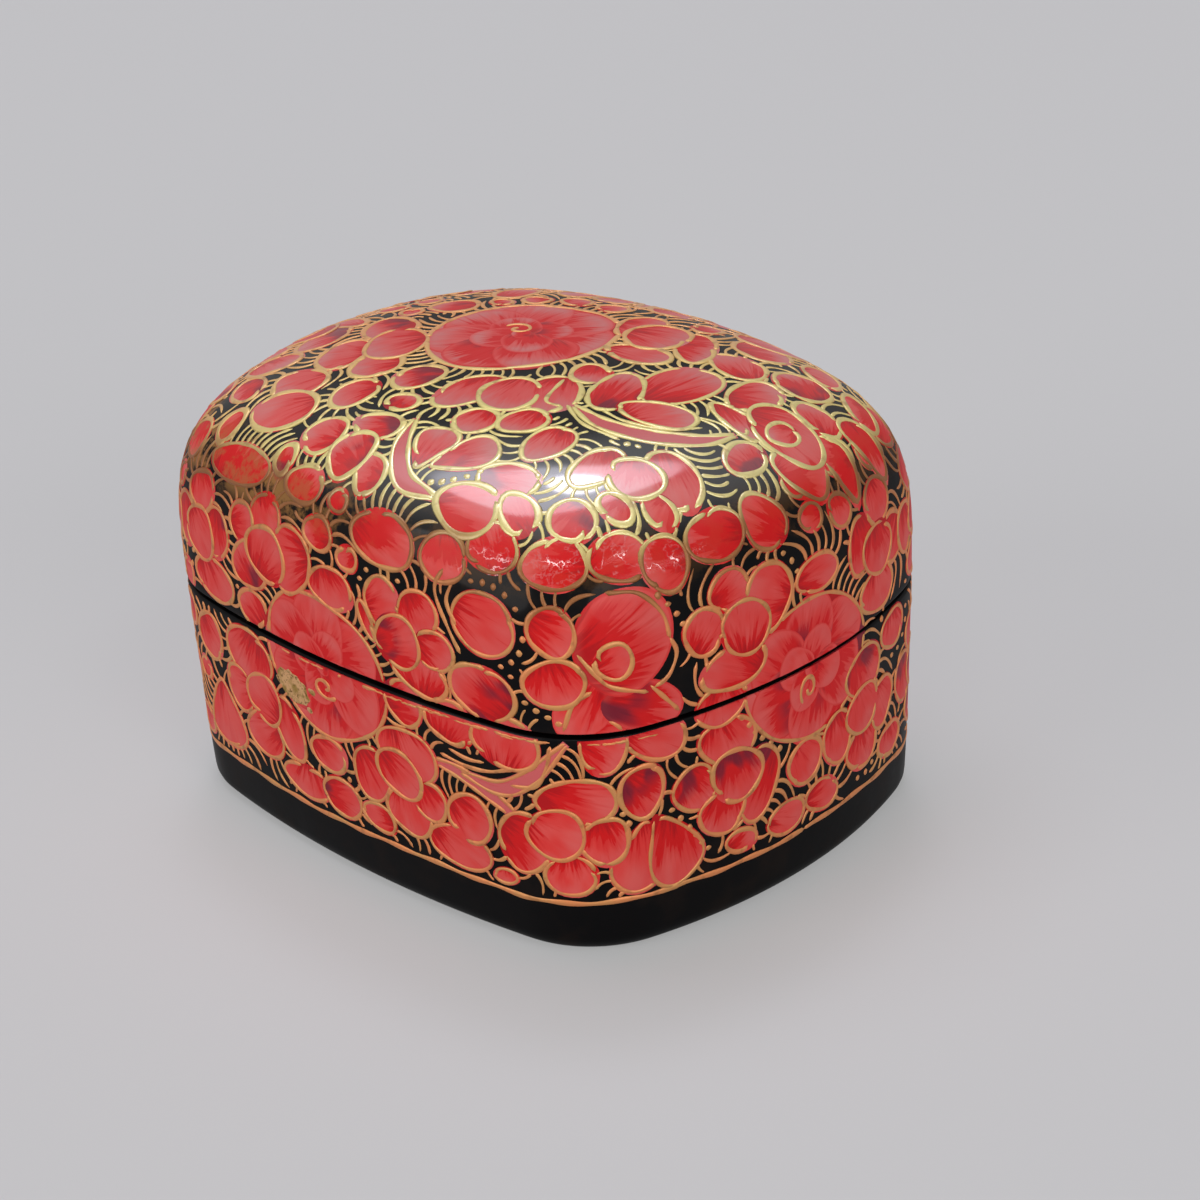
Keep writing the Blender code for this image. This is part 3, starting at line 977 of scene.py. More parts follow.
# Rings of petals in a rose: how far out, length and width as shares of its radius, and turn
OUTER_PETALS = (0.56, 0.92, 0.90, 0)
INNER_PETALS = (0.25, 0.62, 0.56, 35)
INNER_COUNT = 4
PETAL_TILT = 25
PETAL_DARK = 165
PETAL_EGG = 0.18


def paint(chart, rows, egg=0.1, twice=True, ringed=True):
    """Daubs from rows, and then, if twice, the same ones on the other side of the box."""
    for row in rows:
        Daub(chart, *row, egg=egg, ringed=ringed)
    turn = 0 if chart is round_chart else 180
    for u, v, long, wide, tilt, dark in rows if twice else ():
        u, v = across_box(chart, (u, v))
        Daub(chart, u, v, long, wide, tilt + turn, dark + turn, egg=egg, ringed=ringed)


def paint_leaves(chart, rows, twice=True):
    for spine, width in rows:
        Leaf(chart, spine, width)
        if twice:
            Leaf(chart, across_box(chart, spine), width)


def rose(chart, u, v, across, high, petals, start):
    """A big open flower: a round daub, wide petals on it, smaller ones on them, and a heart."""
    ground = Daub(chart, u, v, across, high, dark=start, egg=0.0)
    size = (across + high) / 4
    for (reach, long, wide, turn), count in ((OUTER_PETALS, petals), (INNER_PETALS, INNER_COUNT)):
        for number in range(count):
            bearing = start + turn + 360 * number / count
            x = u + across / 2 * reach * math.cos(math.radians(bearing))
            y = v + high / 2 * reach * math.sin(math.radians(bearing))
            Daub(chart, x, y, size * long, size * wide, tilt=bearing + PETAL_TILT, dark=bearing + PETAL_DARK,
                 egg=PETAL_EGG, ringed=False, margin=0.0)
    Daub(chart, u, v, across / 2 * HEART, high / 2 * HEART, dark=start, ringed=False, margin=0.0)
    ground.shown_over = len(pads)


for u, v, across, high in ROSES:
    for side in (0.0, ROUND / 2):
        rose(round_chart, u + side, v, across, high, 6, 30)
chips = [Daub(round_chart, *chip, tilt=CHIP_TILT, ringed=False, margin=0.0, ragged=CHIP_RAGGED)
         for chip in CHIPS]
rose(top_chart, *TOP_ROSE, 7, 20)
paint_leaves(round_chart, ROUND_LEAVES)
paint(round_chart, BASE_DROPS, DROP_EGG)
paint(round_chart, BASE_DAUBS)
paint(round_chart, WING_DAUBS, ringed=False)
paint(round_chart, LID_DAUBS)
paint_leaves(top_chart, TOP_LEAVES, twice=False)
paint_leaves(top_chart, TOP_LEAVES_TWICE)
paint(top_chart, TOP_DAUBS, twice=False)
paint(top_chart, TOP_DAUBS_TWICE)
paint(top_chart, TOP_DROPS_TWICE, DROP_EGG)
print(len(pads), "pads so far")

# %% [markdown]
# ## Buds in the bare patches
#
# A painter who finds a bare patch too wide for a row of strokes puts a bud there. The same is done here:
# places on a fine grid are tried, the one with most room gets a bud, and the room around it shrinks,
# until no wide patch is left. A tree of all the rims makes the search for the nearest one quick.

# %% Fill the widest gaps with buds
FOOT_LINE = 6.1
BUD_GRID = 0.8
WALL_SPAN = (7.2, 45.0)
TOP_SPAN = ((-36, 36), (-29, 29))
BUD_ROOM = 1.8
BUD_CLEARANCE = 0.55
LARGEST_BUD = 1.8
BUD_MARGIN = 0.35
BUD_LENGTH = (0.95, 1.1)
BUD_HEIGHT = 0.92
SEAM_ROOM = 1.2
TOP_FROM = 44.6
STRETCH_STEP = (0.5, 0.0)


def grid(first, second):
    across, up = np.meshgrid(np.arange(*first, BUD_GRID), np.arange(*second, BUD_GRID))
    return np.column_stack((across.ravel(), up.ravel()))


def room_at(points):
    """How far each place is from the nearest paint, and 0 where it is painted."""
    tree = KDTree(sum(len(pad.edge) for pad in pads))
    for index, corner in enumerate(np.vstack([pad.edge for pad in pads])):
        tree.insert(corner, index)
    tree.balance()
    room = np.array([tree.find(point)[2] for point in points])
    for pad in pads:
        close = np.flatnonzero(np.linalg.norm(points - pad.centre, axis=1) < pad.radius)
        room[close[pad.covers(points[close])]] = 0.0
    return room


def add_buds(chart, drawn):
    """Puts a bud where there is most room, and again, until no wide patch is left."""
    points, _ = laid(chart, drawn, 0.0)
    if chart is top_chart:
        drawn, points = drawn[points[:, 2] > TOP_FROM], points[points[:, 2] > TOP_FROM]
    room = np.minimum(room_at(points), points[:, 2] - FOOT_LINE)
    room = np.where(np.abs(points[:, 2] - SEAM_HEIGHT) < SEAM_ROOM, 0.0, room)
    added = 0
    while room.max() > BUD_ROOM:
        best = room.argmax()
        radius = min(room[best] - BUD_CLEARANCE, LARGEST_BUD)
        right, left = chart(drawn[best] + STRETCH_STEP), chart(drawn[best] - STRETCH_STEP)
        stretch = 1 / np.linalg.norm(right - left)
        length = 2 * radius * chance.uniform(*BUD_LENGTH) * stretch
        height = 2 * radius * BUD_HEIGHT
        Daub(chart, *drawn[best], length, height, dark=chance.uniform(0, 360), margin=BUD_MARGIN)
        room = np.minimum(room, np.linalg.norm(points - points[best], axis=1) - radius - BUD_MARGIN)
        added += 1
    return added


print("buds on the walls:", add_buds(round_chart, grid((0, ROUND), WALL_SPAN)))
print("buds on the top:", add_buds(top_chart, grid(*TOP_SPAN)))
print(len(pads), "pads in", 1 + max(pad.level for pad in pads), "levels")

# %% [markdown]
# ## Laying the pads
#
# A pad that crosses the seam is cut there, because the lid takes its half with it, and the black rim
# left bare beside the seam is wider on one side of the box than on the other. Each pad is made by
# itself, cut if need be, and then poured into one heap of points for its part of the box.

# %% Pads become meshes
BARE_RIM = 0.2
BARE_RIM_TILT = 0.11
BODIES = {"base": "base", "lid": "lid", "top": "lid"}


def bare_at(points):
    """How much black is left bare on each side of the seam."""
    return BARE_RIM - BARE_RIM_TILT * (points[..., 0] / HALF_LENGTH + points[..., 1] / HALF_WIDTH)


class Heap:
    """Points, faces and facts of many small bodies that end in one mesh."""

    def __init__(self):
        self.count = 0
        self.points = []
        self.faces = []
        self.facts = []
        self.outward = []

    def add(self, points, faces, facts, outward):
        self.points.append(points)
        self.facts.append(facts)
        self.outward.append(outward)
        self.faces += [[self.count + corner for corner in face] for face in faces]
        self.count += len(points)

    def piece(self, name, finish, fields, body, slot, shaded=False):
        """Makes the heap's object. Fields name the facts, three columns at a time."""
        facts = np.vstack(self.facts)
        named = {field: facts[:, 3 * place:3 * place + 3] for place, field in enumerate(fields)}
        piece = make_piece(name, np.vstack(self.points), self.faces, finish, named,
                           np.vstack(self.outward) if shaded else None)
        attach(piece, body)
        print(name, len(piece.data.polygons), "faces")
        return piece


def cut_at_seam(points, faces, facts, outward, keep_above):
    """The part of a body above or below the seam, closed along the cut."""
    shape = bmesh.new()
    layers = [shape.verts.layers.float_vector.new(name) for name in ("first", "second", "outward")]
    stored = (facts[:, :3], facts[:, 3:], outward)
    corners = [shape.verts.new(point) for point in points]
    for layer, values in zip(layers, stored):
        for corner, value in zip(corners, values):
            corner[layer] = value
    for face in faces:
        shape.faces.new([corners[index] for index in face])
    sign = 1 if keep_above else -1
    level = SEAM_HEIGHT + sign * (SEAM_GAP / 2 + BARE_RIM)
    upright = (sign * BARE_RIM_TILT / HALF_LENGTH, sign * BARE_RIM_TILT / HALF_WIDTH, 1.0)
    geometry = list(shape.verts) + list(shape.edges) + list(shape.faces)
    bmesh.ops.bisect_plane(shape, geom=geometry, dist=1e-5, plane_co=(0, 0, level), plane_no=upright,
                           clear_inner=keep_above, clear_outer=not keep_above)
    bmesh.ops.holes_fill(shape, edges=[edge for edge in shape.edges if edge.is_boundary], sides=0)
    bmesh.ops.recalc_face_normals(shape, faces=shape.faces)
    shape.verts.index_update()
    kept = [np.array([corner[layer] for corner in shape.verts]).reshape(-1, 3) for layer in layers]
    points = np.array([corner.co for corner in shape.verts]).reshape(-1, 3)
    faces = [[corner.index for corner in face.verts] for face in shape.faces]
    shape.free()
    return points, faces, np.hstack(kept[:2]), kept[2]


def pour(heaps, chart, points, faces, facts, outward):
    """Adds a body to the heap of its part of the box, or cuts it between the lower half and the lid."""
    above = "lid" if chart is round_chart else "top"
    beside = SEAM_GAP / 2 + bare_at(points)
    if (points[:, 2] - SEAM_HEIGHT > beside).all():
        heaps[above].add(points, faces, facts, outward)
    elif (SEAM_HEIGHT - points[:, 2] > beside).all():
        heaps["base"].add(points, faces, facts, outward)
    else:
        for part, keep_above in ((above, True), ("base", False)):
            kept = cut_at_seam(points, faces, facts, outward, keep_above)
            if len(kept[0]):
                heaps[part].add(*kept)


petal_heaps = {part: Heap() for part in BODIES}
for pad in pads:
    if pad not in chips:
        pour(petal_heaps, pad.chart, *pad.body())
print("petal faces:", {part: len(heap.faces) for part, heap in petal_heaps.items()})

# %% [markdown]
# ## Coral and crimson
#
# The painter lays flat coral, then pulls a loaded brush of crimson from one end, so the dark end is
# solid and breaks up into streaks. The streaks are noise that spreads like a fan from the dark end, and
# the line where crimson gives way to coral is pushed back and forth by them. Each petal's own seed moves
# the noise and the line, so that no two are alike. The petals of a rose have no gold round them, and so
# get a thin dark contour and a lighter lip instead.

# %% The finish of the petals
CORAL = (0.70, 0.043, 0.038, 1.0)
PINK = (0.71, 0.082, 0.072, 1.0)
RED = (0.64, 0.018, 0.017, 1.0)
CRIMSON = (0.62, 0.006, 0.0075, 1.0)
DEEP_CRIMSON = (0.27, 0.0028, 0.007, 1.0)
LEAF_PINK = (0.60, 0.115, 0.115, 1.0)
PALE_PINK_AND_SHEEN = (0.60, 0.20, 0.185, 1.0)
PLUM = (0.075, 0.012, 0.03, 1.0)
PLUM_FROM = 0.8
SEED_SPREAD = 41.0
WRINKLES = 520.0


def on_shoulder(finish, height):
    return finish.fade(height, 40.0 * MM, 41.4 * MM) * finish.fall(height, 44.5 * MM, 45.7 * MM)


def wrinkles(finish, place):
    """Thin crooked lines of thick varnish on the petals of the front corner, which sparkle."""
    x, y, height = finish.apart(place)
    corner = finish.fade(x - y, 45 * MM, 49 * MM)
    folds = finish.noise(place, WRINKLES, 3.0, 0.6)
    lines = finish.fall(folds.sum("ABSOLUTE", folds - 0.5), 0.005, 0.02)
    return on_shoulder(finish, height) * corner * lines


def petal_paint():
    finish = Finish("petal_paint")
    along, across, seed = finish.field("petal_place")
    edge, is_rose, is_leaf = finish.field("petal_kind")
    place = finish.place()
    height = finish.apart(place)[2]
    on_top = finish.fade(height, 44.5 * MM, 48.5 * MM)

    # Noise that spreads like a fan from the dark end
    shift = seed * SEED_SPREAD
    spread = across / (along * 1.3 + 0.5)
    streaks = finish.noise(finish.vector(spread * 1.5 + shift, along * 0.9, shift), 1.0, 3.0, 0.6)
    bristles = finish.noise(finish.vector(spread * 3.8 + shift, along * 1.5, shift), 1.0, 2.0)
    clouds = finish.noise(finish.vector(across * 0.45 + shift, along * 1.6 + shift, shift), 1.0, 1.0)

    # How far the crimson reaches, and the soft and hard marks of the brush at its end
    # Roses are redder; on the shoulder band the crimson reaches further, which is painted shade
    more_red_and_painted_shade = is_rose * (0.08 + on_top * 0.18) + on_shoulder(finish, height) * 0.4
    reach = 0.16 + seed * 0.42 + more_red_and_painted_shade + (streaks - 0.5) * 1.2 + (bristles - 0.5) * 0.6
    dark = finish.fall(along - reach, -0.03, 0.035)
    halo = finish.fall(along - reach, 0.03, 0.3)
    deep = finish.fall(along - (streaks - 0.5) * 1.1 - seed * 0.15, 0.0, 0.22)
    hairs = finish.fade(bristles - along * 0.12, 0.58, 0.61)
    tip = finish.fade(along + (streaks - 0.5) * 0.7, 0.5, 0.95)
    lip = finish.fade(edge, 0.72, 0.95) * is_rose
    contour = finish.fade(edge, 0.92, 0.97) * is_rose
    plum = finish.fade(seed, PLUM_FROM, PLUM_FROM + 0.02) * finish.fade(clouds, 0.46, 0.6)

    # Each layer goes over the ones before it
    colour = finish.mix(finish.fade(clouds, 0.35, 0.7), CORAL, PINK)
    for share, layer in (
        # Paler petal tips, and painted sheen that makes every petal on the top paler
        (tip * (0.2 + on_top * 0.5) + on_top * 0.22, PALE_PINK_AND_SHEEN),
        (halo * 0.5, RED),
        (dark * 0.92, CRIMSON),
        (hairs * 0.35, CRIMSON),
        (lip * 0.7, PINK),
        (deep * 0.5, DEEP_CRIMSON),
        (contour * 0.5, CRIMSON),
        (plum * finish.fall(along, 0.3, 0.7) * 0.7, PLUM),
        (is_leaf, finish.mix(hairs * 0.5, LEAF_PINK, RED)),
    ):
        colour = finish.mix(share, colour, layer)
    return finish.done(
        Base_Color=smeared(finish, place, colour, 0.55),
        Roughness=0.40 + bristles * 0.16,
        Specular_IOR_Level=0.1,
        Normal=finish.bump(streaks * 0.6 + bristles * 0.4, 0.022 * MM),
        Coat_Weight=varnish(finish, place) + wrinkles(finish, place),
        Coat_Roughness=VARNISH_ROUGHNESS,
        Coat_IOR=VARNISH_GLOSS,
    )


PETAL_PAINT = petal_paint()
PETAL_FIELDS = ("petal_place", "petal_kind")
for part, heap in petal_heaps.items():
    heap.piece(f"petals_{part}", PETAL_PAINT, PETAL_FIELDS, BODIES[part], "painted_shell", shaded=True)

# %% [markdown]
# ## A chip
#
# A chip in the paint of a rose, with crumbs of it beside, bares the pulp: tan and olive, dry and crumbly,
# with no varnish. It is made of ragged pads whose points are pushed up by chance, and its finish is all
# fine noise.

# %% The chip and its finish
PULP = (0.34, 0.21, 0.06, 1.0)
PALE_PULP = (0.63, 0.36, 0.17, 1.0)
DARK_PULP = (0.14, 0.075, 0.02, 1.0)
PULP_CRUMBS = 1900.0
PULP_FIBRES = 900.0
CHIP_ROUGHNESS = 0.06


def bare_pulp():
    finish = Finish("bare_pulp")
    place = finish.place()
    crumbs = finish.noise(place, PULP_CRUMBS, 4.0, 0.7)
    fibres = finish.noise(place, PULP_FIBRES, 3.0)
    colour = finish.mix(finish.fade(fibres, 0.4, 0.6), PULP, PALE_PULP)
    colour = finish.mix(finish.fall(crumbs, 0.36, 0.48), colour, DARK_PULP)
    return finish.done(Base_Color=colour, Roughness=0.8 + crumbs * 0.15, Specular_IOR_Level=0.1,
                       Normal=finish.bump(crumbs, 0.2 * MM))


def make_chips():
    heap = Heap()
    for chip in chips:
        points, faces, facts, outward = chip.body()
        lifts = np.array([chance.uniform(0, 1) for _ in points]) * CHIP_ROUGHNESS
        heap.add(points + outward * lifts[:, None], faces, facts, outward)
    heap.piece("bare_pulp", bare_pulp(), (), "base", "painted_shell")


make_chips()

# %% [markdown]
# ## Gold lines
#
# Gold is drawn last, with a fine brush that leaves a raised, round-backed line. A stroke is a run of
# points on a chart; small sections are set across it, smaller towards its ends. A line round a petal
# stops where a later petal lies over it, and parts at the seam, exactly as it would if the painter had
# gone round the shape.

# %% Strokes of the gold brush
GOLD_HEIGHT = 0.075
BRUSH_SWELL = 0.2
SWELL_WAVES = (1.0, 2.2)
SHARPEST_END = 0.05
LOWEST_RISE = 1e-6
SECTION_TURNS = np.radians((180, 132, 90, 48, 0))
SHORTEST_LINE = 0.25
FEWEST_SECTIONS = 3
MOST_NOTES = 120000
outline_heaps = {part: Heap() for part in BODIES}
comb_heaps = {part: Heap() for part in BODIES}
notes = np.zeros((MOST_NOTES, 3))
notes_taken = 0


def note(points):
    """Remembers where gold lies between the flowers, so that later strokes keep clear of it."""
    global notes_taken
    notes[notes_taken:notes_taken + len(points)] = points
    notes_taken += len(points)


def near_gold(points, room):
    """Which points come within the room of gold that is noted."""
    middle = points.mean(axis=0)
    reach = np.linalg.norm(points - middle, axis=1).max() + room
    known = notes[:notes_taken]
    known = known[np.linalg.norm(known - middle, axis=1) < reach]
    if not len(known):
        return np.zeros(len(points), dtype=bool)
    return np.linalg.norm(points[:, None] - known, axis=2).min(axis=1) < room


def paint_under(points, own=-1):
    """Height of the paint under each point, and whether a later daub hides a line there."""
    level = np.full(len(points), -1)
    hidden = np.zeros(len(points), dtype=bool)
    for pad in pads_near(points):
        level = np.where(pad.covers(points), np.maximum(level, pad.level), level)
        if 0 <= own < pad.order:
            hidden |= pad.covers(points, by_line=True)
    return np.where(level < 0, 0.0, PAD_HEIGHT + level * LEVEL_STEP), hidden


def ridge(heap, points, outward, heights, width, taper):
    """One raised line over points on the box, closed underneath and at both ends."""
    distance = distance_along(points)
    total = distance[-1]
    if total < SHORTEST_LINE:
        return
    from_end = np.clip(np.minimum(distance, total - distance) / (width / 2), 0, 1)
    round_end = np.sqrt(np.clip(1 - (1 - from_end) ** 2, SHARPEST_END, 1))
    swell = 1 + BRUSH_SWELL * np.sin(distance * chance.uniform(*SWELL_WAVES) + chance.uniform(*ANY_PHASE))
    size = round_end * swell * (1 - taper * distance / total)
    side = unit(np.cross(outward, unit(np.gradient(points, axis=0))))
    across = np.cos(SECTION_TURNS) * width / 2 * size[:, None]
    rise = np.sin(SECTION_TURNS) * GOLD_HEIGHT * size[:, None]
    rise = np.where(rise < LOWEST_RISE, SUNK, rise) + heights[:, None]
    body = points[:, None] + side[:, None] * across[..., None] + outward[:, None] * rise[..., None]
    count = len(SECTION_TURNS)
    facts = np.zeros((len(points) * count, 3))
    facts[:, 0] = np.repeat(outward[:, 2], count)
    heap.add(body.reshape(-1, 3), tube_faces(len(points), count), facts, np.zeros_like(facts))


def draw(heaps, chart, points, outward, heights, keep, width, taper=0.0):
    """Lays the stretches of a line that are kept, and parts it at the seam."""
    beside_seam = np.abs(points[:, 2] - SEAM_HEIGHT) < SEAM_GAP / 2 + bare_at(points)
    above = points[:, 2] > SEAM_HEIGHT
    for part, here in (("lid" if chart is round_chart else "top", above), ("base", ~above)):
        kept = np.concatenate(((0,), (keep & here & ~beside_seam).astype(int), (0,)))
        edges = np.flatnonzero(np.diff(kept))
        for start, end in zip(edges[::2], edges[1::2]):
            if end - start >= FEWEST_SECTIONS:
                ridge(heaps[part], points[start:end], outward[start:end], heights[start:end], width, taper)


def strokes(heaps, chart, lines, widths, own=-1, taper=0.0, noted=True):
    """Draws lines of equally many points."""
    points, outward = laid(chart, np.vstack(lines), 0.0)
    heights, hidden = paint_under(points, own)
    length = len(lines[0])
    for index, width in enumerate(widths):
        part = slice(index * length, (index + 1) * length)
        draw(heaps, chart, points[part], outward[part], heights[part], ~hidden[part], width, taper)
    if noted:
        note(points)


# %% Outline every petal
LINE_WIDTH = 0.54
TOP_LINE_WIDTH = 0.68
WIDEST_SHARE = 0.32
WIDTHS = (0.85, 1.2)


def draw_outlines():
    for pad in pads:
        if pad.ringed:
            usual = LINE_WIDTH if pad.chart is round_chart else TOP_LINE_WIDTH
            width = min(usual * chance.uniform(*WIDTHS), WIDEST_SHARE * pad.radius)
            for line in pad.gold_lines():
                strokes(outline_heaps, pad.chart, [smooth_line(line)], [width], pad.shown_over, noted=False)


draw_outlines()
print("outlines:", {part: len(heap.faces) for part, heap in outline_heaps.items()}, "faces")

# %% Curls in the middle of the roses: middle on the chart, half width, half height, start
CURL_TURNS = 1.35
CURL_START = 0.15
CURL_POINTS = 22
CURL_STEP = 0.3
CURLS = ((176.4, 22.3, 2.0, 1.4, 200), (237.8, 22.6, 1.4, 1.9, 100))
TOP_CURL = (-6.2, 4.2, 1.8, 1.7, 60)


def curl(chart, u, v, wide, high, start):
    turns = np.linspace(CURL_START, 1.0, CURL_POINTS)
    angles = np.radians(start) + turns * 2 * math.pi * CURL_TURNS
    line = np.stack((u + wide * turns * np.cos(angles), v + high * turns * np.sin(angles)), -1)
    strokes(outline_heaps, chart, [smooth_line(line, CURL_STEP)], [LINE_WIDTH], noted=False)


for side in (0.0, ROUND / 2):
    for u, v, wide, high, start in CURLS:
        curl(round_chart, u + side, v, wide, high, start)
curl(top_chart, *TOP_CURL)
print(2 * len(CURLS) + 1, "curls")

# %% [markdown]
# ## Lines between the flowers
#
# What is left of the black between the flowers is never left plain. First come the few strokes and rows
# of dots that the eye notices, drawn one by one, and fans of nested arcs in the wide gaps of the top. Then
# short curved strokes stand like the teeth of a comb on every rim: each is tried by walking out from the
# rim until paint or gold is in the way, and is drawn only where there is room.

# %% Where the single strokes, the fans and the dots go
ROUND_STROKES = (
    ((210.2, 34.3), (211.8, 32.2), (213.4, 30.6), (217.2, 29.3)),
    ((217.5, 29.9), (218.9, 28.3), (220.6, 26.3)),
    ((213.4, 40.1), (216.8, 39.6), (219.2, 37.2), (219.9, 34.4)),
    ((219.9, 34.4), (220.6, 32.6), (219.6, 30.4), (217.9, 29.6)),
    ((211.4, 30.3), (209.5, 28.9), (208.4, 26.0)),
    ((195.0, 40.6), (193.9, 38.2), (195.6, 34.4), (196.9, 32.2)),
    ((196.2, 39.6), (195.4, 37.4), (196.6, 35.2)),
    ((202.0, 18.8), (205.0, 19.4), (206.4, 21.8), (206.9, 24.2)),
    ((193.0, 19.9), (196.4, 19.4), (199.6, 19.7), (202.6, 20.9)),
    ((194.2, 20.8), (196.6, 20.3), (198.8, 20.5)),
)
ROUND_DOTS = (
    (219.5, 15.2), (220.5, 13.9), (221.5, 12.5), (222.3, 11.4), (223.0, 10.3), (223.8, 9.3),
    (214.0, 16.2), (214.6, 15.0), (228.3, 22.8), (229.2, 21.7), (230.0, 20.6), (231.0, 19.5), (232.2, 18.4),
    (233.5, 17.3), (204.5, 28.7), (205.7, 28.0), (206.9, 27.4), (208.0, 26.8),
    (219.0, 38.9), (220.0, 37.8), (220.9, 36.6), (221.5, 35.4),
)
TOP_STROKES = (
    ((13.2, -8.6), (10.8, -8.4), (8.4, -3.4)), ((16.8, -6.4), (20.2, -6.6), (24.2, -4.8), (26.2, -1.6)),
    ((28.9, 0.4), (29.3, 1.6), (28.6, 2.2)), ((13.4, -8.0), (17.6, -9.9), (22.4, -9.6)),
)

# Middle of the arcs, the way they look, and how many there are
TOP_FANS = (
    (20.0, -18.8, -45, 4), (12.8, -10.8, -45, 4), (22.2, -6.6, -60, 4), (27.6, -3.8, -45, 5),
    (31.0, -5.6, -45, 3), (9.8, -17.8, -60, 4), (18.8, -0.4, -45, 3), (16.2, -19.6, -45, 3),
)
TOP_DOTS = (
    (11.0, -25.0), (12.1, -24.5), (13.1, -23.8), (14.1, -22.9), (14.9, -21.8), (15.5, -20.6), (23.4, -9.6),
    (24.4, -9.1),
)
print(len(ROUND_STROKES) + len(TOP_STROKES), "single strokes and", len(TOP_FANS), "fans")

# %% Single strokes, fans of strokes and rows of dots
TOOTH_WIDTH = 0.46
TOOTH_ROOM = 0.66
TOOTH_TAPER = 0.15
FAN_GAP = 0.95
FAN_HALF_ANGLE = 60
FAN_STEP = 0.16
FAN_WIDTH = TOOTH_WIDTH * 1.1
SHORTEST_ARC = 6
DOT_POINTS = 7
WALL_DOT = 0.76
TOP_DOT = 0.8


def painted(points):
    """Which points lie on paint."""
    found = np.zeros(len(points), dtype=bool)
    for pad in pads_near(points):
        found |= pad.covers(points)
    return found


def fan(x, y, aim, count):
    """Nested arcs on the top, each as long as the bare black lets it be."""
    for index in range(1, count + 1):
        radius = index * FAN_GAP
        steps = max(SHORTEST_ARC, round(radius * math.radians(2 * FAN_HALF_ANGLE) / FAN_STEP))
        angles = np.radians(aim + np.linspace(-FAN_HALF_ANGLE, FAN_HALF_ANGLE, steps))
        arc = np.stack((x + radius * np.cos(angles), y + radius * np.sin(angles)), -1)
        points, _ = laid(top_chart, arc, 0.0)
        taken = painted(points) | near_gold(points, TOOTH_ROOM)
        shut = np.concatenate(((-1,), np.flatnonzero(taken), (steps,)))
        widest = np.diff(shut).argmax()
        start, end = shut[widest] + 1, shut[widest + 1]
        if end - start >= SHORTEST_ARC:
            strokes(comb_heaps, top_chart, [arc[start:end]], [FAN_WIDTH], taper=TOOTH_TAPER)


def dots(chart, places, size):
    """Round dabs of gold."""
    places = np.array(places, dtype=float)
    steps = np.linspace(-0.5, 0.5, DOT_POINTS)[:, None] * (size, 0.0)
    strokes(comb_heaps, chart, list(places[:, None] + steps), [size * 1.1] * len(places))


for corners in ROUND_STROKES:
    for places in (corners, across_box(round_chart, corners)):
        strokes(comb_heaps, round_chart, [smooth_line(places)], [LINE_WIDTH])
for corners in TOP_STROKES:
    strokes(comb_heaps, top_chart, [smooth_line(corners)], [LINE_WIDTH])
for places in (ROUND_DOTS, across_box(round_chart, ROUND_DOTS)):
    dots(round_chart, places, WALL_DOT)
for sign, turn in ((1, 0), (-1, 180)):
    dots(top_chart, np.array(TOP_DOTS) * sign, TOP_DOT)
    for x, y, aim, count in TOP_FANS:
        fan(x * sign, y * sign, aim + turn, count)
print(2 * len(ROUND_DOTS + TOP_DOTS), "dots in rows")

# %% Combs on the rims
TOOTH_GAP = 1.02
HEADING_STEP = 0.2
TOOTH_ROOT = 0.2
TOOTH_TURN = 1.2
TOOTH_BEND = (0.16, 0.34)
ONTO_PAINT = 0.35
OVER_FOOT = 0.5
TOOTH_STEPS = np.arange(0.15, 3.6, 0.2)
TOOTH_POINTS = 9
FEWEST_STEPS = 3
DOT_SHARE = 0.08
DOT_GAP = 1.25
DOT_STEPS = 6
DOT_OUT = 0.8
RIM_DOT = 0.7


def comb(pad):
    """Teeth or dots round one pad, each as long as its gap lets it be."""
    loop = np.vstack((pad.rim, pad.rim[:1]))
    distance = distance_along(loop)
    dotted = chance.random() < DOT_SHARE
    count = max(3, int(distance[-1] / (DOT_GAP if dotted else TOOTH_GAP)))
    stations = (np.arange(count) + chance.random()) * distance[-1] / count

    def on_rim(at):
        at = np.mod(at, distance[-1])
        return np.stack([np.interp(at, distance, loop[:, axis]) for axis in (0, 1)], -1)

    feet = on_rim(stations)
    heading = unit(on_rim(stations + HEADING_STEP) - feet)
    away = np.stack((heading[:, 1], -heading[:, 0]), -1)
    bend = chance.choice((-1, 1)) * chance.uniform(*TOOTH_BEND)

    def walk(steps):
        steps = steps[..., None]
        return feet[:, None] + away[:, None] * steps + heading[:, None] * bend * steps * (steps - TOOTH_TURN)

    tried = np.broadcast_to(TOOTH_STEPS, (count, len(TOOTH_STEPS)))
    points, _ = laid(pad.chart, walk(tried).reshape(-1, 2), 0.0)
    on_paint = painted(points)
    stopped = on_paint | near_gold(points, TOOTH_ROOM) | (points[:, 2] < FOOT_LINE + OVER_FOOT)
    stopped |= np.abs(points[:, 2] - SEAM_HEIGHT) < SEAM_GAP / 2 + bare_at(points)
    stopped = np.column_stack((stopped.reshape(count, -1), np.ones(count, dtype=bool)))
    reach = stopped.argmax(axis=1)
    on_paint = np.column_stack((on_paint.reshape(count, -1), np.zeros(count, dtype=bool)))
    meets_paint = on_paint[np.arange(count), reach]
    kept = reach >= (DOT_STEPS if dotted else FEWEST_STEPS)
    if not kept.any():
        return 0
    if dotted:
        dots(pad.chart, walk(np.full((count, 1), DOT_OUT))[kept, 0], RIM_DOT)
        return kept.sum()
    end = TOOTH_STEPS[np.maximum(reach - 1, 0)] + np.where(meets_paint, ONTO_PAINT, 0.0)
    steps = np.linspace(0, 1, TOOTH_POINTS) * (end + TOOTH_ROOT)[:, None] - TOOTH_ROOT
    widths = [TOOTH_WIDTH * chance.uniform(*WIDTHS) for _ in range(kept.sum())]
    strokes(comb_heaps, pad.chart, list(walk(steps)[kept]), widths, taper=TOOTH_TAPER)
    return kept.sum()


print("teeth and dots:", sum(comb(pad) for pad in pads if pad.ringed))

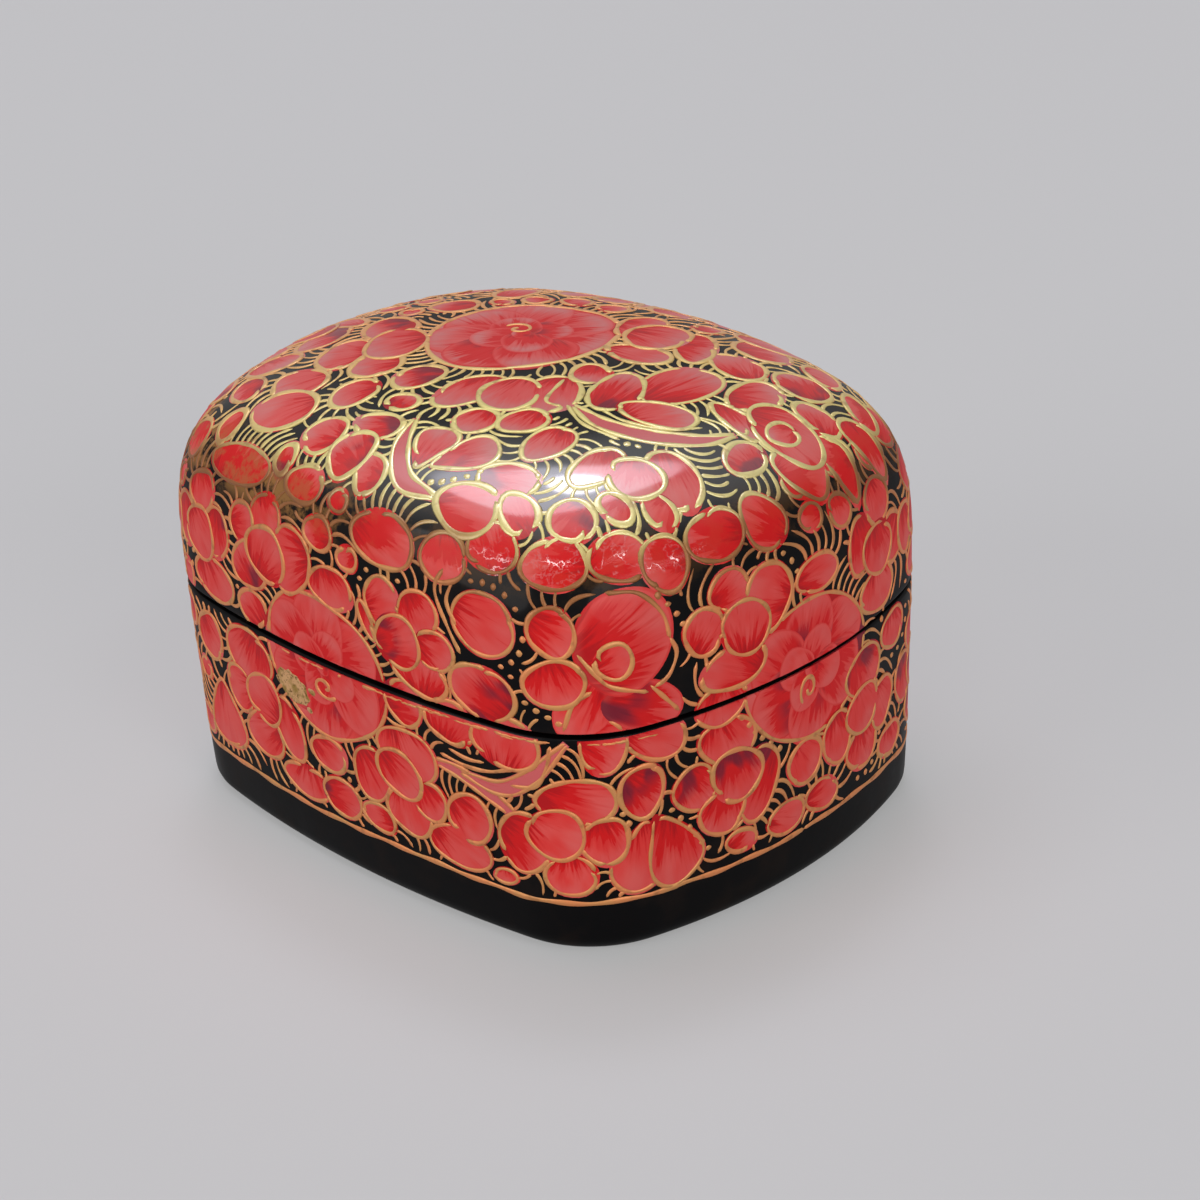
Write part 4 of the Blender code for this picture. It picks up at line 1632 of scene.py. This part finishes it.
# %% The line above the foot, and gold worn off along the rim
FOOT_WIDTH = 0.68
FOOT_POINTS = 640
FOOT_SWAYS = ((0.1, 0.21), (0.06, 0.83))
WORN_RUNS = (150.0, 222.0, 204.0)
WORN_BITS = 44
WORN_DEPTH = (0.15, 0.4)
WORN_LENGTH = (0.5, 2.4)
WORN_POINTS = 7
WORN_JITTER = 0.05
WORN_WIDTH = (0.16, 0.38)


def foot_line():
    """One line all the way round, drawn by a hand that sways a little."""
    runs = np.linspace(0, ROUND, FOOT_POINTS)
    sway = sum(depth * np.sin(runs * waves) for depth, waves in FOOT_SWAYS)
    strokes(comb_heaps, round_chart, [np.stack((runs, FOOT_LINE + sway), -1)], [FOOT_WIDTH], noted=False)


def worn_rim():
    """Crumbs of gold along the rim of the lower half, where the lid has rubbed it."""
    for _ in range(WORN_BITS):
        run = chance.triangular(*WORN_RUNS)
        height = SEAM_BELOW - RIM_ROUNDING - chance.uniform(*WORN_DEPTH)
        runs = np.linspace(run, run + chance.uniform(*WORN_LENGTH), WORN_POINTS)
        jitter = np.array([chance.uniform(-WORN_JITTER, WORN_JITTER) for _ in runs])
        line = np.stack((runs, height + jitter), -1)
        strokes(comb_heaps, round_chart, [line], [chance.uniform(*WORN_WIDTH)], noted=False)


foot_line()
worn_rim()
print("gold faces between the flowers:", {part: len(heap.faces) for part, heap in comb_heaps.items()})

# %% [markdown]
# ## Gold paint
#
# The gold is bronze powder in varnish: dull, grainy and more ochre than leaf gold. It is ochre on the walls
# and at the back; a painted highlight makes it bright yellow on the front of the top, and painted shade
# makes it brown on the shoulder. It is partly metallic, and fine noise breaks the powder up.

# %% The finish of the gold lines
OCHRE = (0.68, 0.24, 0.08, 1.0)
TAN_GOLD = (0.54, 0.29, 0.09, 1.0)
GOLD_PAINTED_SHADE = (0.26, 0.092, 0.022, 1.0)
GOLD_PAINTED_HIGHLIGHT = (0.67, 0.57, 0.20, 1.0)
WORN_GOLD = (0.28, 0.11, 0.03, 1.0)
GOLD_POWDER = 3800.0
GOLD_WEAR = 700.0
GOLD_STIRRED = 240.0


def gold_paint():
    """Gold by place and tilt (0 on a wall, 1 on the flat top), with painted shade on the shoulder and a
    painted highlight on the top.
    """
    finish = Finish("gold_paint")
    lie, _, _ = finish.field("gold_lie")
    place = finish.place()
    powder = finish.noise(place, GOLD_POWDER, 2.0)
    wear = finish.noise(place, GOLD_WEAR, 3.0)
    stirred = finish.fade(finish.noise(place, GOLD_STIRRED, 2.0), 0.42, 0.66)
    wall_gold = finish.mix(stirred * 0.6, OCHRE, TAN_GOLD)
    # Painted shade: the gold turns brown where it tilts on the shoulder
    colour = finish.mix(finish.fade(lie, 0.06, 0.36), wall_gold, GOLD_PAINTED_SHADE)
    # Painted highlight: the gold turns yellow on the top, most towards its front corner
    x, y, _ = finish.apart(place)
    front = finish.fade(x - y, -16 * MM, 22 * MM)
    top_painted_highlight = finish.mix(0.25 + front * 0.75, OCHRE, GOLD_PAINTED_HIGHLIGHT)
    colour = finish.mix(finish.fade(lie, 0.48, 0.78), colour, top_painted_highlight)
    colour = finish.mix(finish.fall(wear, 0.3, 0.46) * 0.5, colour, WORN_GOLD)
    return finish.done(
        Base_Color=colour,
        Metallic=0.45,
        Roughness=0.4 + powder * 0.2,
        Normal=finish.bump(powder + wear * 0.6, 0.02 * MM),
        Coat_Weight=varnish(finish, place),
        Coat_Roughness=0.12,
        Coat_IOR=VARNISH_GLOSS,
    )


GOLD_PAINT = gold_paint()
for kind, heaps in (("outlines", outline_heaps), ("combs", comb_heaps)):
    for part, heap in heaps.items():
        if heap.count:
            heap.piece(f"gold_{kind}_{part}", GOLD_PAINT, ("gold_lie",), BODIES[part], "gold_paint")

# %% [markdown]
# ## Floor, light and camera
#
# The floor and the world show a plain pale grey to the camera and to the varnish. The world also adds a
# faint even light. Three oval lamps, one before the other and each smaller and brighter, stand above, where
# a window would, so that their patch on the front of the lid fades outwards. A wide lamp on either side
# lights the walls, and three small ones in front make the sparkles on the shoulder.

# %% Floor
PALE = (0.6, 0.6, 0.6, 1.0)
SEEN_PALE = (0.32, 0.32, 0.32, 1.0)
OWN_PALE = (0.29, 0.29, 0.29, 1.0)
NOTHING = (0.0, 0.0, 0.0, 1.0)
FLOOR_REACH = 3.0


def make_floor():
    """A floor whose grey is partly painted by light and partly its own, which keeps it even."""
    finish = Finish("plain_floor")
    seen = finish.is_seen()
    lit = finish.mix(seen, PALE, SEEN_PALE)
    own = finish.mix(seen, NOTHING, OWN_PALE)
    mesh = bpy.data.meshes.new("floor")
    corners = [(x * FLOOR_REACH, y * FLOOR_REACH, 0) for x, y in ((-1, -1), (1, -1), (1, 1), (-1, 1))]
    mesh.from_pydata(corners, [], [(0, 1, 2, 3)])
    mesh.materials.append(finish.done(Base_Color=lit, Emission_Color=own, Emission_Strength=1.0,
                                      Roughness=0.9, Specular_IOR_Level=0.0))
    floor = bpy.data.objects.new("floor", mesh)
    bpy.context.scene.collection.objects.link(floor)


make_floor()
print("a floor", 2 * FLOOR_REACH, "m wide")

# %% World: a plain grey for the eye and the gloss, a faint even light for the rest
WORLD_SEEN = (0.61, 0.61, 0.61, 1.0)
WORLD_GLOW = (0.07, 0.07, 0.07, 1.0)

surroundings = Finish("studio", bpy.data.worlds, "Background")
colour = surroundings.mix(surroundings.is_seen(), WORLD_GLOW, WORLD_SEEN)
bpy.context.scene.world = surroundings.done(Color=colour)
print("a plain grey world")

# %% Lamps
LIT_PLACE = Vector((26.5, -16.5, 47.4)) * MM
LAMP_DISTANCE = 3.0
LAVENDER_WHITE = (0.91, 0.88, 1.0)
WHITE = (1.0, 1.0, 1.0)

# Name, power in watts, width and height in metres, direction
WALL_LAMPS = (
    ("left_fill", 37.0, 2.2, 2.0, (-0.25, -0.88, 0.25)),
    ("right_fill", 39.0, 2.2, 2.0, (0.89, -0.3, 0.25)),
    ("left_sparkle", 5.0, 0.9, 0.3, (0.27, -0.58, 0.76)),
    ("middle_sparkle", 5.0, 0.9, 0.3, (0.64, -0.16, 0.75)),
    ("right_sparkle", 5.0, 0.9, 0.3, (0.9, 0.12, 0.42)),
)


def lamp(name, power, width, height, direction, colour=WHITE, distance=LAMP_DISTANCE):
    """A soft oval lamp, in a direction from the front corner of the lid."""
    light = bpy.data.lights.new(name, "AREA")
    light.shape = "ELLIPSE"
    light.size = width
    light.size_y = height
    light.energy = power
    light.color = colour
    holder = bpy.data.objects.new(name, light)
    towards = Vector(direction).normalized()
    holder.location = LIT_PLACE + towards * distance
    holder.rotation_euler = towards.to_track_quat("Z", "Y").to_euler()
    bpy.context.scene.collection.objects.link(holder)


lamp("window_glow", 14.0, 3.3, 3.0, (-0.26, -0.02, 0.96), LAVENDER_WHITE)
lamp("window", 25.0, 2.8, 1.5, (-0.32, 0.14, 0.92), LAVENDER_WHITE, 2.96)
lamp("window_middle", 10.0, 0.62, 0.6, (-0.29, 0.29, 0.9), LAVENDER_WHITE, 2.92)
for row in WALL_LAMPS:
    lamp(*row)
print("eight lamps")

# %% Camera at the photograph's viewing angle
PHOTO_SIDE = 1200
SENSOR = 36.0
FOCAL_PIXELS = 2782.4
AZIMUTH = math.radians(45.69)
ELEVATION = math.radians(25.44)
ROLL = math.radians(-2.92)
DISTANCE = 306.8
SIDESTEP = 5.98
CLIMB = -3.94
NEAREST_SEEN = 0.01


def make_camera():
    back = Vector((math.sin(AZIMUTH) * math.cos(ELEVATION),
                   -math.cos(AZIMUTH) * math.cos(ELEVATION), math.sin(ELEVATION)))
    right = (-back).cross(Vector((0, 0, 1))).normalized()
    up = right.cross(-back)
    place = Vector((0, 0, HEIGHT / 2)) + back * DISTANCE + right * SIDESTEP + up * CLIMB
    rolled_right = right * math.cos(ROLL) + up * math.sin(ROLL)
    rolled_up = up * math.cos(ROLL) - right * math.sin(ROLL)
    data = bpy.data.cameras.new("camera")
    data.sensor_width = SENSOR
    data.lens = FOCAL_PIXELS * SENSOR / PHOTO_SIDE
    data.clip_start = NEAREST_SEEN
    camera = bpy.data.objects.new("camera", data)
    axes = Matrix((rolled_right, rolled_up, back)).transposed()
    camera.matrix_world = Matrix.Translation(place * MM) @ axes.to_4x4()
    bpy.context.scene.collection.objects.link(camera)
    bpy.context.scene.camera = camera


make_camera()
bpy.context.scene.view_settings.view_transform = "Standard"
print("camera", DISTANCE, "mm from the box")
